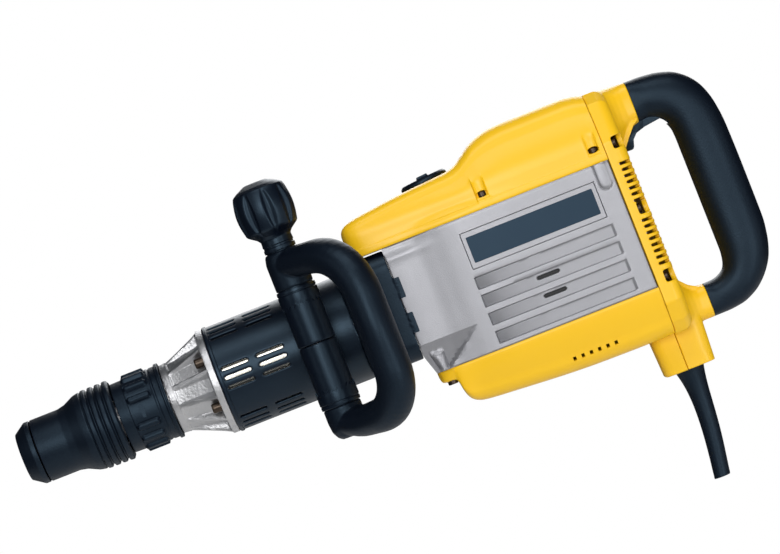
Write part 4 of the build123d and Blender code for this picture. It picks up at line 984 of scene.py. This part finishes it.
coneOutline = [(126.7, 20.1, 0.2), (126.7, 28.7, 0.8), (131.8, 29.1, 0.3)]
coneOutline += [(132.5 + 0.48 * k, 29.3 + 0.2 * k, 0) for k in range(66)]
coneOutline += [(163.9, 43.35, 0.2), (164.6, 43.4, 0.3), (168.9, 43.4, 0.5), (169.2, 42.8, 0.1), (169.2, 24.6, 0.2),
                (160, 24.6, 0.2), (160, 22.1, 0.2), (150, 22.1, 0.1), (150, 20.1, 0.1)]
coneShell = lathe("frontHousingShell", coneOutline, finishes["cast_aluminium"], 432, shape=coneShape, angle=38)
for turn in coneTurns:
    drill = lathe("drill", [(147, 0.001, 0), (147, cone["drill"], 0), (163.4, cone["drill"], 0), (163.4, 0.001, 0)],
                  finishes["cast_aluminium"], 32,
                  axisPlace=(cone["screwRing"] * math.sin(turn), cone["screwRing"] * math.cos(turn)))
    cutWith(coneShell, drill)
smoothShade(coneShell.data, 38)
takeOver(coneShell, "front_housing")
print("cone", len(coneShell.data.polygons), "faces")


# rear housing: one moulding whose necks flow out of the cap
def sectionLoop(x, halfWide, low, high, power):
    middle, halfHigh = (low + high) / 2, (high - low) / 2
    return ringLoop((x, 0, middle), (1, 0, 0), (0, 0, 1), halfWide, halfHigh, power, 56)


print("rear housing")
capTools = {"pocket": (535.7, 573.2, 49, 82.2, 9), "voxel": 0.8}
upperNeck = [sectionLoop(x, w, low, high, p) for x, w, low, high, p in (
    (523.5, 40, 40, 104.6, 3.2), (530, 34, 49, 104.4, 3.2), (535, 29, 55, 104.2, 3.0), (539, 25, 59.5, 104, 2.8),
    (543, 22, 63.5, 103.8, 2.8), (548, 19.6, 66.8, 103.4, 3.0), (555, 18, 68.8, 103, 3.2))]
lowerNeck = [sectionLoop(x, w, low, high, p) for x, w, low, high, p in (
    (523.5, 38, -96.6, -47, 3.2), (530, 32, -96.8, -54, 3.2), (535, 26, -97, -59.5, 3.0), (539, 22, -97, -63.5, 2.8),
    (543, 19, -97, -66.6, 2.8), (548, 17, -97, -68.8, 3.0), (555, 16, -97, -69.4, 3.2))]
bossBehind = [[(2 * cordBoss["split"] + 0.3 - x + 5.2 * (cordBoss["split"] - x) / 18.2, y, z) for x, y, z in loop]
              for loop in roundedBox(*bossPlan, cordBoss["corner"], -90.0, cordBoss["foot"])]


def carve(target, shapes):
    for name, loops in shapes:
        cutWith(target, loft(name, loops, yellow))


def boxLoops(x0, x1, y0, y1, z0, z1):
    return [[(x, y0, z0), (x, y1, z0), (x, y1, z1), (x, y0, z1)] for x in (x0, x1)]


capShell = joined("rearHousingShell", [cadCopy("rear_housing"), loft("upperNeck", upperNeck, yellow),
                                       loft("lowerNeck", lowerNeck, yellow),
                                       loft("bossBehind", bossBehind, yellow)], yellow)
wearRound(capShell, capTools["voxel"], 3)
x0, x1, z0, z1, half = capTools["pocket"]
carve(capShell, [("pocket", boxLoops(x0, x1, -half, half, z0, z1))])
hollow = loft("hollow", [sectionLoop(514, 46, -90, 98, 8), sectionLoop(531, 46, -90, 98, 8)], yellow)
cutWith(capShell, hollow)
for side in (-1, 1):
    for level in capScrews["levels"]:
        well = lathe("well", [(526, 0.001, 0), (526, 4.9, 0), (545, 5.4, 0), (545, 0.001, 0)], yellow, 40,
                     axisPlace=(side * capScrews["y"], level))
        cutWith(capShell, well)
thinner = capShell.modifiers.new("thin", "DECIMATE")
thinner.ratio = 0.55
applyAll(capShell)
smoothShade(capShell.data, 40)
takeOver(capShell, "rear_housing")
print("rear housing", len(capShell.data.polygons), "faces")

# rear grip, swept along the D with a softened oval section
print("grips")
gripPairs = [((555.25, 103), (555.25, 69)), ((564, 103), (561, 68.7)), ((577, 102), (567.5, 66.8)),
             ((592, 98.2), (573, 63.2)), ((604, 90), (576, 58.5)), ((612.6, 78), (577.6, 53)), ((617.5, 62), (578, 45)),
             ((619.5, 42), (578, 33)), ((619.9, 8), (578, 8)), ((619.7, -34), (578, -34)), ((618, -50), (578, -48)),
             ((613.5, -66), (577, -57)), ((604.5, -80), (574.5, -63.5)), ((592, -90.5), (569.5, -67.3)),
             ((579, -95.6), (564, -69)), ((566, -97), (559.5, -69.4)), ((555.25, -97), (555.25, -69.5))]
gripWide = [16.6, 17.0, 17.4, 17.7, 17.9, 18, 18, 17.8, 17.4, 17.6, 17.6, 17.2, 16.6, 16, 15.4, 15, 14.8]


def gripLoops():
    spots = range(len(gripPairs))
    tracks = [curveThrough([(i, gripPairs[i][side][axis]) for i in spots]) for side in (0, 1) for axis in (0, 1)]
    wide = curveThrough(list(enumerate(gripWide)))
    loops = []
    for k in range((len(gripPairs) - 1) * 7 + 1):
        t = k / 7
        ox, oz, ix, iz = (track(t) for track in tracks)
        across = Vector((ox - ix, 0, oz - iz))
        along = across.normalized().cross(Vector((0, 1, 0)))
        power = 2.25 + 0.9 * (1 - step(0, 1.5, t)) + 0.9 * step(14.5, 16, t)
        loops.append(ringLoop(((ox + ix) / 2, 0, (oz + iz) / 2), along, across.normalized(), wide(t), across.length / 2,
                              power, 72))
    return loops


gripShell = loft("rearGripShell", gripLoops(), rubber, angle=40)
slotForTrigger = loft("slotForTrigger", boxLoops(550.5, 579.4, -8.9, 8.9, 60, 82), rubber)
cutWith(gripShell, slotForTrigger)
smoothShade(gripShell.data, 40)
takeOver(gripShell, "rear_grip")

triggerBack = [(573.4, 66.2), (573.4, 69), (566, 79.6), (556, 81), (550, 74), (541.2, 67.5), (537.4, 60), (536.6, 50.8),
               (543.4, 50.6), (545.2, 57), (550, 61.8), (558, 64.2)]


def triggerShape():
    loops = []
    for y, shrink in ((-7.9, 1.3), (-7.6, 0.5), (-6.6, 0.0), (6.6, 0.0), (7.6, 0.5), (7.9, 1.3)):
        middle = Vector((552, 66))
        ring = []
        for x, z in filletOutline([(x, z, 1.6) for x, z in triggerBack], 4):
            toward = (middle - Vector((x, z)))
            move = toward.normalized() * shrink
            ring.append((x + move.x, y, z + move.y))
        loops.append(ring)
    return loft("triggerShell", loops, finishes[slotOf["trigger"]], angle=35)


triggerShell = triggerShape()
pinHole = lathe("pinHole", [(-20, 0.001, 0), (-20, 2.1, 0), (20, 2.1, 0), (20, 0.001, 0)], rubber, 32, upright=True)
pinHole.data.transform(Matrix.Translation((0.560, 0, 0.077)) @ Matrix.Rotation(math.radians(90), 4, "X"))
cutWith(triggerShell, pinHole)
smoothShade(triggerShell.data, 35)
takeOver(triggerShell, "trigger")

# side loop: an oval bar whose outer leg swells in the hand
loop = {"x": 253.0, "y": -60.0, "turn": 50.0, "reach": 75.0, "top": 63.2, "foot": -70.2, "bend": 41.0, "footBend": 33.0,
        "radius": 14.7, "armHalf": 12.4, "topLift": 3.2, "footLift": 3.6, "swell": 3.3, "bore": 5.2}


def loopPath():
    # (out, z) centre points from the upper eye round to the lower one
    bend, turnIn, reach, top, foot = loop["bend"], loop["footBend"], loop["reach"], loop["top"], loop["foot"]
    path = [(k * (reach - bend) / 8, top) for k in range(8)]
    path += [(reach - bend + bend * math.sin(a), top - bend + bend * math.cos(a))
             for a in [math.pi / 2 * k / 12 for k in range(13)]]
    path += [(reach, top - bend + (foot + turnIn - top + bend) * k / 14) for k in range(1, 14)]
    path += [(reach - turnIn + turnIn * math.cos(a), foot + turnIn - turnIn * math.sin(a))
             for a in [math.pi / 2 * k / 12 for k in range(13)]]
    path += [((reach - turnIn) * (1 - k / 8), foot) for k in range(1, 9)]
    lift = (loop["footLift"], loop["topLift"])
    return [(out, z + lift[z > 0] * (1 - step(0, 26 if z < 0 else 46, out))) for out, z in path]


def loopShape():
    path = loopPath()
    out = Vector((math.cos(math.radians(loop["turn"])), -math.sin(math.radians(loop["turn"])), 0))
    base = Vector((loop["x"], loop["y"], 0))
    loops = []
    for i, (reach, z) in enumerate(path):
        before, after = path[max(i - 1, 0)], path[min(i + 1, len(path) - 1)]
        along = out * (after[0] - before[0]) + Vector((0, 0, after[1] - before[1]))
        away = along.normalized().cross(out.cross(Vector((0, 0, 1))))
        middle = base + out * reach + Vector((0, 0, z))
        swell = loop["swell"] * math.exp(-((z + 5) / 26) ** 2) * step(50, 72, reach)
        thick = loop["armHalf"] + (loop["radius"] - loop["armHalf"]) * step(18, 66, reach)
        thick -= 1.6 * (1 - step(0, 20, reach))
        ring = ringLoop(middle, along, away, loop["radius"], thick, 2.15, 56)
        loops.append([(x, y + swell * (y - middle.y) / loop["radius"], z) for x, y, z in ring])
    return loft("loopBar", loops, finishes[slotOf["side_loop"]])


eyeOutlines = [[(47.2, 5.25, 0), (47.2, 15.4, 0.8), (70, 15.4, 4), (77.9, 13.6, 3), (77.9, 5.25, 0)],
               [(-78.2, 5.25, 0), (-78.2, 8.6, 2), (-75.8, 11.8, 3.5), (-70.5, 14.6, 5), (-63, 15.4, 4),
                (-52.4, 15.4, 0.8), (-52.4, 5.25, 0)]]
eyes = [lathe("eye", outline, finishes[slotOf["side_loop"]], 72, axisPlace=(loop["x"], loop["y"]), upright=True)
        for outline in eyeOutlines]
loopShell = joined("sideLoopShell", [loopShape()] + eyes, finishes[slotOf["side_loop"]])
wearRound(loopShell, 0.75, 11)
bore = lathe("bore", [(-72, 0.001, 0), (-72, loop["bore"], 0), (90, loop["bore"], 0), (90, 0.001, 0)], rubber, 48,
             axisPlace=(loop["x"], loop["y"]), upright=True)
cutWith(loopShell, bore)
smoothShade(loopShell.data, 50)
takeOver(loopShell, "side_loop")
print("side loop", len(loopShell.data.polygons), "faces")

# fluted clamp knob
knob = {"flutes": 9, "depth": 2.6, "middle": 111.0, "half": 13.5, "wide": 0.20}


def knobShape(z, radius, turn):
    if radius < 17:
        return radius
    travel = abs(z - knob["middle"]) / knob["half"]
    if travel >= 1.25:
        return radius
    opening = math.sqrt(max(0.0, 1 - (travel / 1.25) ** 2))
    pitch = 2 * math.pi / knob["flutes"]
    around = abs((turn + pitch / 2) % pitch - pitch / 2)
    wide = knob["wide"] * opening + 0.001
    return radius - knob["depth"] * opening * (1 - step(wide * 0.25, wide, around))


knobOutline = [(75.8, 5.2, 0.2), (75.8, 11.6, 0.2), (78.2, 11.6, 0), (78.3, 12.9, 0.6), (81.4, 12.9, 0.3),
               (81.9, 12.2, 0.3), (83.2, 12.2, 0.3), (83.8, 12.8, 0.4),
               (88.6, 12.4, 2.5), (91.2, 14.6, 3.0), (95.2, 20.2, 2.5)]
knobOutline += [(96.5 + 1.05 * k, 21.2 + 2.45 * math.sin(math.pi * (0.5 + k) / 30), 0) for k in range(29)]
knobOutline += [(128.6, 20.6, 2.4), (131.0, 17.0, 3), (134.9, 9.0, 8), (134.95, 0.01, 0), (117.9, 0.01, 0),
                (117.9, 5.2, 0.2)]
knobShell = lathe("clampKnobShell", knobOutline, finishes[slotOf["clamp_knob"]], 216, axisPlace=(loop["x"], loop["y"]),
                  upright=True, shape=knobShape, angle=48)
takeOver(knobShell, "clamp_knob")


# toothed rings where the clamp meets the loop
def makeTeethTree():
    tree, start, end = nodeTree("toothedRing", [
        ("Radius", "NodeSocketFloat", 0.0155), ("Count", "NodeSocketInt", 22),
        ("Tooth Radius", "NodeSocketFloat", 0.0027), ("Tooth Depth", "NodeSocketFloat", 0.0016),
        ("Finish", "NodeSocketMaterial", None)])
    new, links = tree.nodes.new, tree.links
    ring = new("GeometryNodeMeshCircle")
    links.new(start.outputs["Count"], ring.inputs["Vertices"])
    links.new(start.outputs["Radius"], ring.inputs["Radius"])
    tooth = new("GeometryNodeMeshCylinder")  # three-sided, so each tooth is a small wedge
    tooth.inputs["Vertices"].default_value = 3
    links.new(start.outputs["Tooth Radius"], tooth.inputs["Radius"])
    links.new(start.outputs["Tooth Depth"], tooth.inputs["Depth"])
    turnedTooth = new("GeometryNodeTransform")
    turnedTooth.inputs["Rotation"].default_value = (0, math.radians(90), 0)
    links.new(tooth.outputs["Mesh"], turnedTooth.inputs["Geometry"])
    centreOut = new("GeometryNodeInputPosition")
    align = new("FunctionNodeAlignRotationToVector")
    align.axis = "X"
    links.new(centreOut.outputs[0], align.inputs["Vector"])
    spread = new("GeometryNodeInstanceOnPoints")
    links.new(ring.outputs[0], spread.inputs["Points"])
    links.new(turnedTooth.outputs[0], spread.inputs["Instance"])
    links.new(align.outputs["Rotation"], spread.inputs["Rotation"])
    closeTree(tree, start, end, spread.outputs[0])
    return tree


ringPlaces = ((34.0, 1), (-39.4, -1))  # where each ring starts and the way it faces
teeth = runTree("toothedRings", makeTeethTree(), {"Finish": finishes["black_plastic"]},
                [(loop["x"], loop["y"], start) for start, way in ringPlaces],
                [(0, 0, way) for start, way in ringPlaces])
bandOutline = [(0.0, 14.6, 0), (0.0, 16.35, 0.3), (8.6, 16.35, 0.3), (9.1, 15.75, 0.2), (9.7, 15.75, 0.2),
               (10.1, 16.2, 0.2), (12.8, 16.0, 0.7), (12.9, 14.4, 0.1), (15.2, 14.4, 0), (15.2, 6.0, 0), (12.0, 6.0, 0)]
bands = [lathe("seamBand", [(start + way * place, radius, fillet) for place, radius, fillet in bandOutline],
               finishes["black_plastic"], 96, axisPlace=(loop["x"], loop["y"]), upright=True)
         for start, way in ringPlaces]
seamShell = joined("toothedSeams", [teeth] + bands, finishes["black_plastic"])
smoothShade(seamShell.data, 30)
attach(seamShell, bodyOf["clamp_jaw_upper"])

# mouldings and castings whose shape stays and whose edges are worn round
print("worn edges")
softened = {"barrel_sleeve": (0.75, 3, 0.55), "gear_case": (0.8, 5, 0.6), "clamp_jaw_upper": (0.7, 5, 0.8),
            "clamp_jaw_lower": (0.7, 5, 0.8), "speed_dial": (0.45, 4, 0.8), "cord_guard": (0.6, 4, 0.7)}
jawEnds = {"clamp_jaw_lower": (-52.2, 200), "clamp_jaw_upper": (-200, 47.0)}
tabs = {"start": 316, "front": 46.0, "rear": 46.5, "step": 326.7}


def trimmed(node, x, y, z):
    # the gear case's tabs lie flush over the silver housing; a jaw stops where the side handle's neck starts
    if node == "gear_case" and x > tabs["start"]:
        skin = tabs["front"] if x < tabs["step"] else tabs["rear"]
        y = max(-skin, min(skin, y))
    if node in jawEnds and 230 < x < 276 and -80 < y < -40:
        low, high = jawEnds[node]
        z = max(low, min(high, z))
    return x, y, z


for node, (voxel, rounds, keep) in softened.items():
    worn = soften(node, voxel, rounds, keep)
    if node == "gear_case" or node in jawEnds:
        for vertex in worn.data.vertices:
            vertex.co = Vector(trimmed(node, *(vertex.co / mm))) * mm
    smoothShade(worn.data, 50)
boltShell = lathe("clampBoltShell", [(-77.6, 0.01, 0), (-77.6, 4.9, 0.6), (117.8, 4.9, 0.6), (117.8, 0.01, 0)],
                  finishes[slotOf["clamp_bolt"]], 48, axisPlace=(loop["x"], loop["y"]), upright=True)
takeOver(boltShell, "clamp_bolt")
lipOutline = [(169.5, 41.5, 0.2), (169.5, 43.7, 0.4), (170.4, 44.3, 0.5), (172.4, 44.3, 0.4), (173.0, 43.3, 0.2),
              (173.0, 41.5, 0.2)]
lipShell = lathe("barrelLip", lipOutline, finishes[slotOf["barrel_sleeve"]], 160)
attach(lipShell, bodyOf["barrel_sleeve"])


# camera, light and floor
view = {"centre": (325, -20, 27), "distance": 3200, "lens": 186, "roll": 21.5}
camera = bpy.data.cameras.new("camera")
camera.lens = view["lens"]
camera.clip_end = 50
cameraObject = bpy.data.objects.new("camera", camera)
bpy.context.scene.collection.objects.link(cameraObject)
centre = Vector(view["centre"]) * mm
cameraObject.matrix_world = (Matrix.Translation(centre + Vector((0, -view["distance"] * mm, 0)))
                             @ Matrix.Rotation(math.radians(90), 4, "X")
                             @ Matrix.Rotation(math.radians(-view["roll"]), 4, "Z"))
bpy.context.scene.camera = cameraObject


def softBox(name, place, aim, width, height, power, tint=(1, 1, 1)):
    lamp = bpy.data.lights.new(name, "AREA")
    lamp.shape = "RECTANGLE"
    lamp.size = width
    lamp.size_y = height
    lamp.energy = power
    lamp.color = tint
    thing = bpy.data.objects.new(name, lamp)
    bpy.context.scene.collection.objects.link(thing)
    thing.location = place
    thing.rotation_euler = (Vector(aim) - Vector(place)).to_track_quat("-Z", "Y").to_euler()
    return thing


print("lights")
right = Vector((math.cos(math.radians(view["roll"])), 0, -math.sin(math.radians(view["roll"]))))
up = Vector((math.sin(math.radians(view["roll"])), 0, math.cos(math.radians(view["roll"]))))


def inPicture(across, high, near):
    # a place by how far right, up and towards the camera it is, in metres
    return centre + right * across + up * high + Vector((0, -near, 0))


softBox("topLight", inPicture(-0.35, 1.5, 0.9), centre, 1.6, 0.7, 12)
softBox("fillLight", inPicture(-0.55, 0.45, 3.2), centre, 1.5, 1.3, 44)
softBox("capLight", inPicture(1.5, 0.15, 2.2), centre, 0.9, 1.2, 17)
softBox("frontLight", inPicture(-1.5, -0.1, 0.9), centre, 0.5, 1.0, 2)
softBox("rearLight", inPicture(1.5, 0.1, 0.5), centre, 0.4, 1.3, 1.6)
softBox("underLight", inPicture(0.2, -1.3, 0.9), centre, 1.3, 0.4, 2.5, (0.80, 0.90, 1.0))
softBox("backLight", (0.6, 1.6, 0.9), centre, 1.2, 1.2, 14)
world = bpy.data.worlds.new("paleStudio")
world.use_nodes = True
skyTree = world.node_tree
sky = skyTree.nodes["Background"]
dim = skyTree.nodes.new("ShaderNodeBackground")
paper = skyTree.nodes.new("ShaderNodeBackground")
for glow, color, strength in ((sky, (1, 1, 1, 1), 0.20), (dim, (0.75, 0.87, 1, 1), 0.045), (paper, (1, 1, 1, 1), 1.0)):
    setInputs(glow, {"Color": color, "Strength": strength})
seen = skyTree.nodes.new("ShaderNodeLightPath")
either = skyTree.nodes.new("ShaderNodeMixShader")
skyTree.links.new(seen.outputs["Is Camera Ray"], either.inputs[0])
shiny = skyTree.nodes.new("ShaderNodeMixShader")
skyTree.links.new(seen.outputs["Is Glossy Ray"], shiny.inputs[0])
skyTree.links.new(sky.outputs[0], shiny.inputs[1])
skyTree.links.new(dim.outputs[0], shiny.inputs[2])
skyTree.links.new(shiny.outputs[0], either.inputs[1])
skyTree.links.new(paper.outputs[0], either.inputs[2])
skyTree.links.new(either.outputs[0], skyTree.nodes["World Output"].inputs["Surface"])
bpy.context.scene.world = world
bpy.context.scene.view_settings.view_transform = "Standard"

bpy.ops.mesh.primitive_circle_add(vertices=96, radius=0.95, fill_type="NGON", location=(0.3, 0.1, -0.46))
floor = bpy.context.object
floor.name = "floor"
floorFinish = bpy.data.materials.new("floorPaint")
floorFinish.use_nodes = True
setInputs(floorFinish.node_tree.nodes["Principled BSDF"], {"Base Color": (0.92, 0.92, 0.92, 1), "Roughness": 0.9})
floor.data.materials.append(floorFinish)
